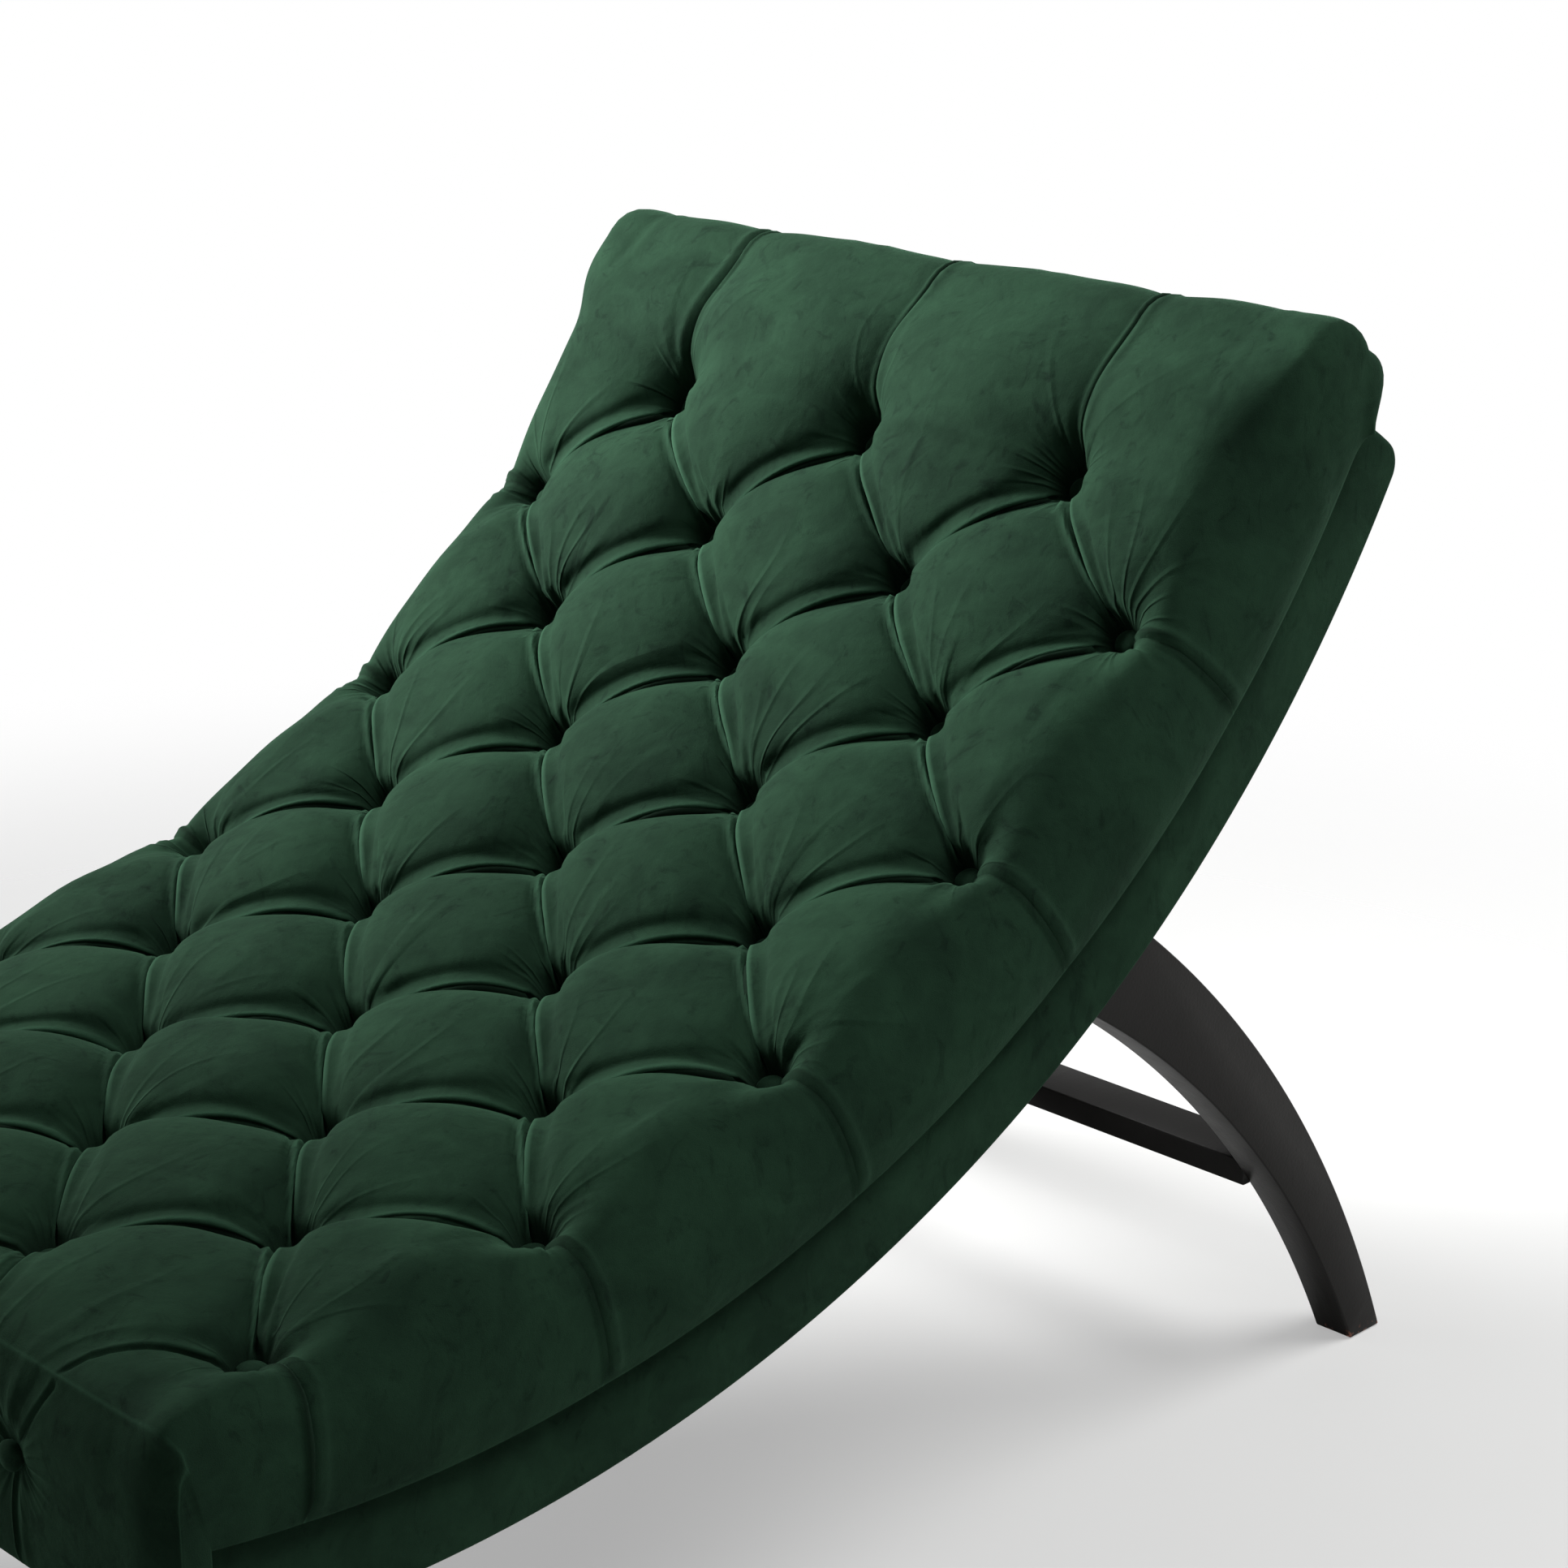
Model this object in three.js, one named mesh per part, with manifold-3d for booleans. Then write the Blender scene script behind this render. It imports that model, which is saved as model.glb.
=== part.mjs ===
// A fainting couch: one deep-buttoned curved mattress on a slim curved frame with sabre legs.
// Millimetres. X runs towards the head, Y across the couch, Z up. The origin is on the floor,
// in the middle of the couch's length and width.
import * as THREE from "three";
import { mergeVertices } from "three/addons/utils/BufferGeometryUtils.js";
import Module from "manifold-3d";

const wasm = await Module();
wasm.setup();

// Fits
const fitGap = 0.3; // gap between two pieces that touch
const overrunLength = 6; // how far a cut runs past the face that it opens
const weld = 0.001; // vertices closer than this are one
const arcStep = THREE.MathUtils.degToRad(1.65); // one flat of every curved piece of the frame
const foamStep = 4 * arcStep; // one flat of the foam's top
const clearShare = 0.1; // a flat shorter than this share of a step joins its neighbour
const quarter = Math.PI / 2;

// Seat arc: every long curve of the couch shares its centre
const buttonRadius = 984; // centre to the line of the buttons
const mattressDepth = 74; // line of the buttons to the seam between mattress and base
const baseDepth = 73; // seam to the underside of the base
const seamRadius = buttonRadius + mattressDepth;
const bandRadius = seamRadius + baseDepth;
const seatHeight = 360; // floor to the line of the buttons at its lowest
const frontReachLength = 235; // centre to the toes of the front legs
const rearReachLength = 1054; // centre to the heels of the rear legs
const arcX = (frontReachLength - rearReachLength) / 2;
const arcZ = seatHeight + buttonRadius;

// Buttons and tufts
const mattressWidth = 778; // at the seam
const sideMargin = 59; // outer buttons of the long rows, in from the seam
const rowPitchLength = 112.8; // between rows, along the line of the buttons
const firstRowAngle = THREE.MathUtils.degToRad(53.3); // top row of the back, about the arc's centre
const seatRows = 10; // rows on the seat and back, three and four buttons in turn
const frontRowDepth = 45; // row on the front face, below that face's upper edge
const shortRowCount = 3;
const longRowCount = 4;
const buttonSpacing = (mattressWidth - 2 * sideMargin) / (longRowCount - 1); // across the couch
const buttonRimRadius = 11; // radius of a button
const buttonRimHeight = 9.5; // rim above the button line
const buttonTopRadius = 8.5;
const buttonTopRimHeight = 12.5;
const buttonHeight = 14;
const buttonSides = 8;
const tuftFloorDepth = 4; // bottom of a tuft below the button line
const crownHeight = 52; // top of a diamond above the button line
const pleatHeight = 38; // middle of a pleat above the button line
const sideCrownHeight = 22; // top edge of the side between two pleats
const sidePleatHeight = 12; // top edge of the side at a pleat
const headCrownHeight = 14; // puffs and pleats at the head
const headPleatHeight = 9;
const footCrownHeight = 20; // diamonds that turn over the front edge
const frontCrownHeight = 13;
const frontPleatHeight = 6;

// Mattress
const mattressBulgeDepth = 8; // how far its sides swell past the seam
const edgeInset = 14; // top edge of the side, in from the seam's width
const headSeamAngle = THREE.MathUtils.degToRad(60.3);
const headFaceTilt = THREE.MathUtils.degToRad(20);
const headRoundRadius = 20;
const headLipWidth = 7; // bottom of the head face, outside the seam
const frontDepth = 202; // arc centre to the front face
const frontRoundRadius = 22;
const apronThickness = 26; // front face where it hangs over the base
const wallThickness = 26; // wadding at the sides, around the foam
const tuftBackingThickness = 10; // foam's top below the button line

// Base
const baseInset = 10.5; // sides of the base, in from the mattress
const baseWidth = mattressWidth - 2 * baseInset;
const coverThickness = 4;
const lipWidth = 24; // cover turned under the rails
const baseHeadAngle = THREE.MathUtils.degToRad(60.3);
const baseCornerRadius = 22;
const deckThickness = 9;
const railThickness = 21;
const crossRailThickness = 21;
const dustCoverThickness = 1.2;
const dustCoverInset = 14;
const seatRailAngle = THREE.MathUtils.degToRad(14);
const backRailAngle = THREE.MathUtils.degToRad(45);
const frontRailInset = 4; // front rail behind the apron

// Legs
const legThickness = 37;
const legFootWidth = 40; // along the floor
const legOuterRadius = 1080; // convex edge
const legOuterDepth = 400; // centre of the convex edge below the floor
const legTaperRadius = 99; // concave edge's radius is this much less
const legTaperDepth = 31; // concave edge's centre is this much lower
const legInnerRadius = legOuterRadius - legTaperRadius;
const legInnerDepth = legOuterDepth + legTaperDepth;
const legTopGap = 1; // leg to the deck above it
const legSteps = 12;

// Rear stretcher
const stretcherDepth = 53;
const stretcherThickness = 22;
const stretcherTopHeight = 182; // above the floor
const stretcherInset = 4; // in from the legs' convex edge
const tenonLength = 15;
const tenonShoulderWidth = 5;

// Leg bolts
const boltRadius = 4;
const boltHeadRadius = 7.5;
const boltHeadHeight = 5;
const boltBiteLength = 14; // into the side rail
const boltSides = 10;

// Colours and finishes
const velvet = { color: 0x1d4a31, roughness: 0.85, metalness: 0 };
const lacquer = { color: 0x282725, roughness: 0.35, metalness: 0 };
const timber = { color: 0xc9a877, roughness: 0.7, metalness: 0 };
const ply = { color: 0xb8935f, roughness: 0.7, metalness: 0 };
const foam = { color: 0xe8dfc4, roughness: 0.95, metalness: 0 };
const cambric = { color: 0x161616, roughness: 0.95, metalness: 0 };
const steel = { color: 0x9a9da0, roughness: 0.4, metalness: 1 };

const couch = new THREE.Group();

function add(name, geometry, finish) {
  const mesh = new THREE.Mesh(geometry, new THREE.MeshStandardMaterial(finish));
  mesh.name = name;
  couch.add(mesh);
  return mesh;
}

function solidOf(geometry) {
  const bare = geometry.clone();
  bare.deleteAttribute("normal");
  bare.deleteAttribute("uv");
  const merged = mergeVertices(bare, weld);
  return new wasm.Manifold(
    new wasm.Mesh({
      numProp: 3,
      vertProperties: merged.attributes.position.array,
      triVerts: new Uint32Array(merged.index.array),
    }),
  );
}

function geometryOf(solid) {
  const mesh = solid.getMesh();
  const geometry = new THREE.BufferGeometry();
  geometry.setAttribute("position", new THREE.BufferAttribute(mesh.vertProperties, 3));
  geometry.setIndex(new THREE.BufferAttribute(mesh.triVerts, 1));
  geometry.computeVertexNormals();
  return geometry;
}

function cut(geometry, ...tools) {
  return geometryOf(tools.reduce((rest, tool) => rest.subtract(solidOf(tool)), solidOf(geometry)));
}

// A side outline, made a board of the given width across the couch.
function board(outline, width, middle = 0) {
  const shape = new THREE.Shape(outline);
  const geometry = new THREE.ExtrudeGeometry(shape, { depth: width, bevelEnabled: false });
  return geometry.rotateX(quarter).translate(0, middle + width / 2, 0);
}

function polar(radius, angle) {
  return new THREE.Vector2(radius * Math.cos(angle), radius * Math.sin(angle));
}

function onArc(radius, angle) {
  return new THREE.Vector2(arcX + radius * Math.sin(angle), arcZ - radius * Math.cos(angle));
}

// Points of the seat arc. The flats of all radii line up, because they share the same steps.
function arcPoints(radius, from, to, flat = arcStep) {
  const low = Math.min(from, to);
  const high = Math.max(from, to);
  const angles = [low];
  for (let step = Math.floor(low / flat) + 1; step * flat < high; step++) {
    const clear = Math.min(step * flat - low, high - step * flat) / flat;
    if (clear > clearShare) angles.push(step * flat);
  }
  angles.push(high);
  const points = angles.map((angle) => onArc(radius, angle));
  return from < to ? points : points.reverse();
}

// The angle at which an arc meets an upright line that far in front of the arc's centre.
function frontAngle(radius, depth) {
  return -Math.asin(depth / radius);
}

// Line of the buttons, from the head seam over the seat to the bottom of the front face
const frontArcAngle = -Math.asin((frontDepth - frontRoundRadius) / (buttonRadius + frontRoundRadius));
const headSeam = onArc(seamRadius - fitGap, headSeamAngle);
const headFaceUp = new THREE.Vector2(-Math.sin(headFaceTilt), Math.cos(headFaceTilt));
const headFaceOut = new THREE.Vector2(Math.cos(headFaceTilt), Math.sin(headFaceTilt));
const headRoundBase = headSeam.clone().addScaledVector(headFaceOut, -headRoundRadius).sub(onArc(0, 0));
const roundAlong = headRoundBase.dot(headFaceUp);
const roundReach = headRoundBase.lengthSq() - (buttonRadius + headRoundRadius) ** 2;
const headFaceLength = -roundAlong - Math.sqrt(roundAlong ** 2 - roundReach);
const headRoundCentre = headRoundBase.clone().addScaledVector(headFaceUp, headFaceLength);
const headArcAngle = Math.atan2(headRoundCentre.x, -headRoundCentre.y);
const headTurn = quarter + headArcAngle - headFaceTilt;
const frontTurn = quarter - frontArcAngle;
const apronBottom = onArc(bandRadius, frontAngle(bandRadius, frontDepth)).y;
const frontFaceTop = arcZ - (buttonRadius + frontRoundRadius) * Math.cos(frontArcAngle);
const pathPieces = [
  { length: headFaceLength, turn: 0 },
  { length: headRoundRadius * headTurn, turn: headTurn },
  { length: buttonRadius * (headArcAngle - frontArcAngle), turn: frontArcAngle - headArcAngle },
  { length: frontRoundRadius * frontTurn, turn: frontTurn },
  { length: frontFaceTop - apronBottom, turn: 0 },
];
const pathStarts = pathPieces.map((piece, at) =>
  pathPieces.slice(0, at).reduce((sum, before) => sum + before.length, 0),
);
const pathLength = pathStarts[4] + pathPieces[4].length;

// Place and outward direction at a distance along that line.
function onPath(distance) {
  const place = headSeam.clone();
  let heading = quarter + headFaceTilt;
  for (const [at, { length, turn }] of pathPieces.entries()) {
    const run = Math.min(length, Math.max(0, distance - pathStarts[at]));
    const bend = (turn * run) / length;
    const chord = bend === 0 ? run : (run * 2 * Math.sin(bend / 2)) / bend;
    place.x += chord * Math.cos(heading + bend / 2);
    place.y += chord * Math.sin(heading + bend / 2);
    heading += bend;
  }
  return { place, out: new THREE.Vector2(Math.sin(heading), -Math.cos(heading)) };
}

// Rows of buttons, as distances along the line: the seat's rows, then the one on the front face
const firstRow = pathStarts[2] + buttonRadius * (headArcAngle - firstRowAngle);
const rows = Array.from({ length: seatRows }, (_, row) => firstRow + row * rowPitchLength);
rows.push(pathStarts[4] + frontRowDepth);
const lastRow = rows.length - 1;
const halfSpacing = buttonSpacing / 2;
const fieldEdge = longRowCount - 1; // outer buttons of the long rows, in half spacings
const halfWidth = mattressWidth / 2;
const edgeColumn = (halfWidth - edgeInset) / halfSpacing;

const headRiseShare = 0.45; // part of the head run in which its pleats rise from the buttons

const mix = (from, to, share) => from + (to - from) * share;
const clamp = (value) => Math.min(1, Math.max(0, value));
const swell = (share) => 1 - (1 - share) ** 2;

// Row number at a distance along the line, with the parts of a row as a fraction.
function rowAt(distance) {
  const row = Math.min(lastRow - 1, Math.max(0, rows.findLastIndex((start) => start <= distance)));
  return row + clamp((distance - rows[row]) / (rows[row + 1] - rows[row]));
}

// Height of the buttoned field. A pleat joins each button to its neighbours in the next rows.
function fieldHeight(row, column, top) {
  const rowCell = Math.min(lastRow - 1, Math.floor(row));
  const columnCell = Math.min(fieldEdge - 1, Math.floor(column));
  const along = row - rowCell;
  const across = column - columnCell;
  const rising = (rowCell + columnCell) % 2 === 0;
  const fromPleat = Math.abs(rising ? across - along : across + along - 1);
  const fromMiddle = Math.abs(rising ? across + along - 1 : across - along);
  const valley = (pleatHeight * top * (1 - fromMiddle ** 2)) / crownHeight;
  return mix(valley, top, swell(fromPleat));
}

// Height at an end of the mattress, where the pleats run straight over the edge.
function endHeight(column, pleat, top) {
  const outer = Math.abs(column) > shortRowCount - 1;
  const nearest = outer ? Math.sign(column) * (shortRowCount - 1) : 2 * Math.round(column / 2);
  const fromPleat = Math.abs(column - nearest);
  return mix(pleat, top, swell(clamp(fromPleat)));
}

// Height of the mattress above the line of the buttons.
function tuftHeight(distance, column) {
  const row = rowAt(distance);
  const nearFront = clamp((row - (lastRow - 2)) / 2);
  const top = mix(crownHeight, footCrownHeight, nearFront);
  const inside = Math.max(-fieldEdge, Math.min(fieldEdge, column));
  let height = fieldHeight(row, inside, top);
  const toHead = clamp((rows[0] - distance) / (rows[0] - pathStarts[1]));
  if (toHead > 0) {
    const pleat = mix(pleatHeight, headPleatHeight, toHead ** 2);
    const puff = mix(crownHeight, headCrownHeight, toHead ** 2);
    height = mix(height, endHeight(inside, pleat, puff), swell(clamp(toHead / headRiseShare)));
  }
  const toFoot = clamp((distance - rows[lastRow]) / (pathLength - rows[lastRow]));
  if (toFoot > 0) height = mix(height, endHeight(inside, frontPleatHeight, frontCrownHeight), swell(toFoot));
  const overSide = clamp((Math.abs(column) - fieldEdge) / (edgeColumn - fieldEdge));
  if (overSide > 0) {
    const edge = mix(sideEdgeHeight(distance), Math.min(height, frontCrownHeight), nearFront);
    height = mix(height, edge, overSide ** 2);
  }
  const atButton = Math.abs(height) < weld;
  return atButton ? -tuftFloorDepth : height;
}

// How far a place along the side is from the nearest side pleat: 0 at a pleat, 1 between two.
function sidePuff(distance) {
  const row = rowAt(distance);
  if (distance < rows[0] || row > lastRow - 1) return 1;
  return swell(Math.abs(row - (2 * Math.floor(row / 2) + 1)));
}

function sideEdgeHeight(distance) {
  const edge = mix(sidePleatHeight, sideCrownHeight, sidePuff(distance));
  return distance < rows[0] ? mix(edge, headCrownHeight / 2, clamp((rows[0] - distance) / rows[0])) : edge;
}

// Inner mate of a place on the line: the seam under the mattress, then the apron's back.
const seam = seamRadius - fitGap;
const apronBack = frontDepth - apronThickness;
const backCorner = frontAngle(seam, apronBack);
const seamLevel = pathStarts[4] + frontFaceTop - onArc(seam, backCorner).y;
function innerMate(distance) {
  const headBlend = rows[0];
  const frontBlend = rows[lastRow - 1];
  const angleAt = (at) => headArcAngle - (at - pathStarts[2]) / buttonRadius;
  const headEnd = headSeamAngle - headLipWidth / seam;
  if (distance < headBlend) return onArc(seam, mix(headEnd, angleAt(headBlend), distance / headBlend));
  if (distance < frontBlend) return onArc(seam, angleAt(distance));
  const share = (distance - frontBlend) / (seamLevel - frontBlend);
  if (share < 1) return onArc(seam, mix(angleAt(frontBlend), backCorner, share));
  return new THREE.Vector2(arcX - apronBack, frontFaceTop - (distance - pathStarts[4]));
}

// One cross-section of the mattress: over the top, down one side, back under, up the other
const pleatBulgeShare = 0.3; // bulge left at a side pleat
const sideRowShares = [
  { down: 0.3, out: 0.8 },
  { down: 0.65, out: 1 },
];
function mattressLoop(distance) {
  const { place, out } = onPath(distance);
  const mate = innerMate(distance);
  const point = (side, y) => new THREE.Vector3(side.x, y, side.y);
  const outer = (column) => {
    const drawnIn = swell(clamp(distance / headFaceLength));
    const height = tuftHeight(distance, column) * drawnIn;
    return place.clone().addScaledVector(out, height);
  };
  const loop = columns.map((column) => point(outer(column), column * halfSpacing));
  const side = (sign) => {
    const edge = outer(sign * edgeColumn);
    const puff = mix(pleatBulgeShare, 1, sidePuff(distance)) * mattressBulgeDepth;
    const rowsDown = sideRowShares.map(({ down, out: swollen }) =>
      point(edge.clone().lerp(mate, down), sign * (halfWidth + puff * swollen)),
    );
    return [...rowsDown, point(mate, sign * halfWidth)];
  };
  return [...loop, ...side(1), ...side(-1).reverse()];
}

// Skin over a row of closed loops with the same number of points, with a flat cap at each end.
// Each four-sided patch is folded along one of its two diagonals, the one that follows a pleat.
function loft(loops, alongPleat, lowCorner) {
  const count = loops[0].length;
  const index = [];
  for (let at = 0; at < loops.length - 1; at++) {
    for (let step = 0; step < count; step++) {
      const next = (step + 1) % count;
      const a = at * count + step;
      const b = at * count + next;
      const c = b + count;
      const d = a + count;
      index.push(...(alongPleat(at, step) ? [a, b, c, a, c, d] : [a, b, d, b, c, d]));
    }
  }
  const cap = (loop, first, turned) => {
    const up = loop[0].clone().sub(loop[lowCorner]).setY(0).normalize();
    const flat = loop.map((corner) => new THREE.Vector2(corner.y, corner.dot(up)));
    const faces = THREE.ShapeUtils.triangulateShape(flat, []);
    const away = THREE.ShapeUtils.isClockWise(flat) === turned;
    for (const [a, b, c] of faces) index.push(first + a, first + (away ? b : c), first + (away ? c : b));
  };
  cap(loops[0], 0, true);
  cap(loops.at(-1), (loops.length - 1) * count, false);
  const geometry = new THREE.BufferGeometry().setFromPoints(loops.flat());
  geometry.setIndex(index);
  geometry.computeVertexNormals();
  return geometry;
}

// Distances along the line at which the mattress has a cross-section
const stepsPerRow = 3;
const edgeSteps = 2; // flats of each round, and from there to the nearest row
function spread(from, to, steps) {
  return Array.from({ length: steps }, (_, step) => mix(from, to, step / steps));
}
const stations = [
  ...spread(0, pathStarts[1], edgeSteps),
  ...spread(pathStarts[1], pathStarts[2], edgeSteps),
  ...spread(pathStarts[2], rows[0], edgeSteps),
  ...rows.slice(0, seatRows - 1).flatMap((row, at) => spread(row, rows[at + 1], stepsPerRow)),
  ...spread(rows[seatRows - 1], pathStarts[3], edgeSteps),
  ...spread(pathStarts[3], pathStarts[4], edgeSteps),
  pathStarts[4],
  rows[lastRow],
  ...spread(seamLevel, pathLength, edgeSteps),
  pathLength,
];
const fieldColumns = Array.from(
  { length: 2 * fieldEdge * stepsPerRow + 1 },
  (_, step) => step / stepsPerRow - fieldEdge,
);
const columns = [-edgeColumn, ...fieldColumns, edgeColumn];

// Whether the patch between two cross-sections and two columns folds along their rising diagonal.
function foldsForward(station, step) {
  if (step >= columns.length - 1) return step % 2 === 0;
  const row = Math.floor(rowAt((stations[station] + stations[station + 1]) / 2));
  const column = Math.floor((columns[step] + columns[step + 1]) / 2);
  return (row + column) % 2 === 0;
}

// Foam, in a hollow of the mattress that is open underneath
const coreRadius = buttonRadius + tuftBackingThickness;
const coreHead = headSeamAngle - wallThickness / seamRadius;
const coreWidth = mattressWidth - 2 * wallThickness;
const coreFront = apronBack - fitGap;
function coreOutline(grow, bottom, flat) {
  const top = coreRadius - grow;
  return [
    ...arcPoints(bottom, frontAngle(bottom, coreFront + grow), coreHead + grow / bottom, flat),
    ...arcPoints(top, coreHead + grow / top, frontAngle(top, coreFront + grow), foamStep),
  ];
}
const mattress = cut(
  loft(stations.map(mattressLoop), foldsForward, columns.length + sideRowShares.length),
  board(coreOutline(fitGap, seamRadius + overrunLength, foamStep), coreWidth + 2 * fitGap),
);
add("mattress_cover", mattress, velvet);
add("foam_core", board(coreOutline(0, seam, arcStep), coreWidth), foam);

// Buttons
const buttonProfile = [
  new THREE.Vector2(0, fitGap - tuftFloorDepth),
  new THREE.Vector2(buttonRimRadius, buttonRimHeight),
  new THREE.Vector2(buttonTopRadius, buttonTopRimHeight),
  new THREE.Vector2(0, buttonHeight),
];
rows.forEach((distance, row) => {
  const count = row % 2 === 0 ? shortRowCount : longRowCount;
  const { place, out } = onPath(distance);
  for (let at = 0; at < count; at++) {
    const turned = new THREE.LatheGeometry(buttonProfile, buttonSides);
    const button = add(`button_${row + 1}_${at + 1}`, turned, velvet);
    button.position.set(place.x, (at - (count - 1) / 2) * buttonSpacing, place.y);
    button.rotation.set(quarter, 0, 0);
    button.rotateZ(Math.atan2(-out.x, out.y));
  }
});

// Base: curved side rails with boards between them, a bent deck on top and a velvet cover
const frameInset = coverThickness + fitGap;
const baseFront = apronBack - fitGap;
const deckBottom = seamRadius + deckThickness;
const railTop = deckBottom + fitGap;
const railBottom = bandRadius - frameInset;

// Side outline of the base, set in from its head end and underside.
const cornerShares = [0.25, 0.5, 0.75, 1];
function baseOutline(top, inset, front) {
  const bottom = bandRadius - inset;
  const round = baseCornerRadius - inset;
  const head = baseHeadAngle - inset / bottom;
  const roundAngle = head - Math.asin(round / (bottom - round));
  const centre = onArc(bottom - round, roundAngle);
  const corner = cornerShares.map((share) => {
    const direction = mix(roundAngle - quarter, head, share);
    return centre.clone().add(polar(round, direction));
  });
  return [
    ...arcPoints(bottom, frontAngle(bottom, front), roundAngle),
    ...corner,
    ...arcPoints(top, head, frontAngle(top, front)),
  ];
}

const openingHead = baseHeadAngle - lipWidth / bandRadius;
const coverOpening = [
  ...arcPoints(bandRadius + overrunLength, frontAngle(bandRadius, baseFront + overrunLength), openingHead),
  ...arcPoints(railTop, openingHead, frontAngle(railTop, baseFront + overrunLength)),
];
const coverHollow = baseOutline(seamRadius - overrunLength, coverThickness, baseFront + overrunLength);
const baseCover = cut(
  board(baseOutline(seamRadius, 0, baseFront), baseWidth),
  board(coverHollow, baseWidth - 2 * coverThickness),
  board(coverOpening, baseWidth - 2 * lipWidth),
);
add("base_cover", baseCover, velvet);

const deckHead = baseHeadAngle - frameInset / railBottom;
const deckOutline = [
  ...arcPoints(deckBottom, frontAngle(deckBottom, baseFront), deckHead),
  ...arcPoints(seamRadius, deckHead, frontAngle(seamRadius, baseFront)),
];
add("seat_deck", board(deckOutline, baseWidth - 2 * frameInset), ply);

const railMiddle = baseWidth / 2 - frameInset - railThickness / 2;
const railInnerFace = railMiddle - railThickness / 2;
const legMiddle = railInnerFace - fitGap - legThickness / 2;

// Where two circles about a and b meet, on the side given by sign.
function meet(a, radiusA, b, radiusB, sign) {
  const between = b.clone().sub(a);
  const span = between.length();
  const along = (radiusA ** 2 - radiusB ** 2 + span ** 2) / (2 * span);
  const off = Math.sqrt(radiusA ** 2 - along ** 2) * sign;
  between.normalize();
  return new THREE.Vector2(
    a.x + between.x * along - between.y * off,
    a.y + between.y * along + between.x * off,
  );
}

// Sabre leg, drawn for the rear; end is 1 for the rear pair and -1 for the front pair.
const toeX = (frontReachLength + rearReachLength) / 2;
const outerCentreX = toeX - Math.sqrt(legOuterRadius ** 2 - legOuterDepth ** 2);
const innerCentreX = toeX - legFootWidth - Math.sqrt(legInnerRadius ** 2 - legInnerDepth ** 2);
function legOutline(end) {
  const seat = onArc(0, 0);
  const edge = (centreX, drop, radius) => {
    const centre = new THREE.Vector2(end * centreX, -drop);
    const top = meet(centre, radius, seat, railTop + legTopGap, -end);
    const from = Math.asin(drop / radius);
    const to = Math.atan2(top.y - centre.y, end * (top.x - centre.x));
    return Array.from({ length: legSteps + 1 }, (_, step) => {
      const { x, y } = polar(radius, mix(from, to, step / legSteps));
      return new THREE.Vector2(centre.x + end * x, centre.y + y);
    });
  };
  const outer = edge(outerCentreX, legOuterDepth, legOuterRadius);
  const inner = edge(innerCentreX, legInnerDepth, legInnerRadius);
  return [...outer, ...inner.reverse()];
}

// Middle of a leg where it laps the side rail.
function lapPlace(end) {
  const outline = legOutline(end);
  const down = (railBottom - railTop) / 2;
  const partWay = (top, below) => top.clone().add(below.clone().sub(top).setLength(down));
  const outer = partWay(outline[legSteps], outline[legSteps - 1]);
  const inner = partWay(outline[legSteps + 1], outline[legSteps + 2]);
  return outer.lerp(inner, 1 / 2);
}

// Stretcher between the rear legs, with a tenon in each
const convexAtStretcher =
  outerCentreX + Math.sqrt(legOuterRadius ** 2 - (legOuterDepth + stretcherTopHeight) ** 2);
const stretcherX = convexAtStretcher - stretcherInset - stretcherDepth / 2;
const stretcherZ = stretcherTopHeight - stretcherThickness / 2;
const stretcherLength = 2 * (legMiddle - legThickness / 2 - fitGap);
function tenon(grow) {
  const box = new THREE.BoxGeometry(
    stretcherDepth - 2 * tenonShoulderWidth + 2 * grow,
    stretcherLength + 2 * (tenonLength + grow),
    stretcherThickness - 2 * tenonShoulderWidth + 2 * grow,
  );
  return box.translate(stretcherX, 0, stretcherZ);
}
const stretcherBoard = new THREE.BoxGeometry(stretcherDepth, stretcherLength, stretcherThickness);
stretcherBoard.translate(stretcherX, 0, stretcherZ);
add("rear_stretcher", geometryOf(solidOf(stretcherBoard).add(solidOf(tenon(0)))), lacquer);

// Bolt from the inner face of a leg into its side rail, pointing along +Y from that face
function boltProfile(grow) {
  const reach = legThickness + fitGap + boltBiteLength + grow;
  return [
    new THREE.Vector2(0, -boltHeadHeight - fitGap),
    new THREE.Vector2(boltHeadRadius, -boltHeadHeight - fitGap),
    new THREE.Vector2(boltHeadRadius, -fitGap),
    new THREE.Vector2(boltRadius + grow, -fitGap),
    new THREE.Vector2(boltRadius + grow, reach),
    new THREE.Vector2(0, reach),
  ];
}
function placeBolt(object, end, side) {
  const lap = lapPlace(end);
  object.position.set(lap.x, side * (legMiddle - legThickness / 2), lap.y);
  object.rotation.x = side < 0 ? Math.PI : 0;
  return object;
}
function boltHole(end, side) {
  const hole = placeBolt(new THREE.Object3D(), end, side);
  hole.updateMatrix();
  return new THREE.LatheGeometry(boltProfile(fitGap), boltSides).applyMatrix4(hole.matrix);
}

const pairs = [
  { end: 1, side: -1, name: "rear_leg_left" },
  { end: 1, side: 1, name: "rear_leg_right" },
  { end: -1, side: -1, name: "front_leg_left" },
  { end: -1, side: 1, name: "front_leg_right" },
];
for (const { end, side, name } of pairs) {
  const leg = board(legOutline(end), legThickness, side * legMiddle);
  const mortise = end > 0 ? [tenon(fitGap)] : [];
  add(name, cut(leg, boltHole(end, side), ...mortise), lacquer);
  placeBolt(add(`${name}_bolt`, new THREE.LatheGeometry(boltProfile(0), boltSides), steel), end, side);
}

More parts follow.
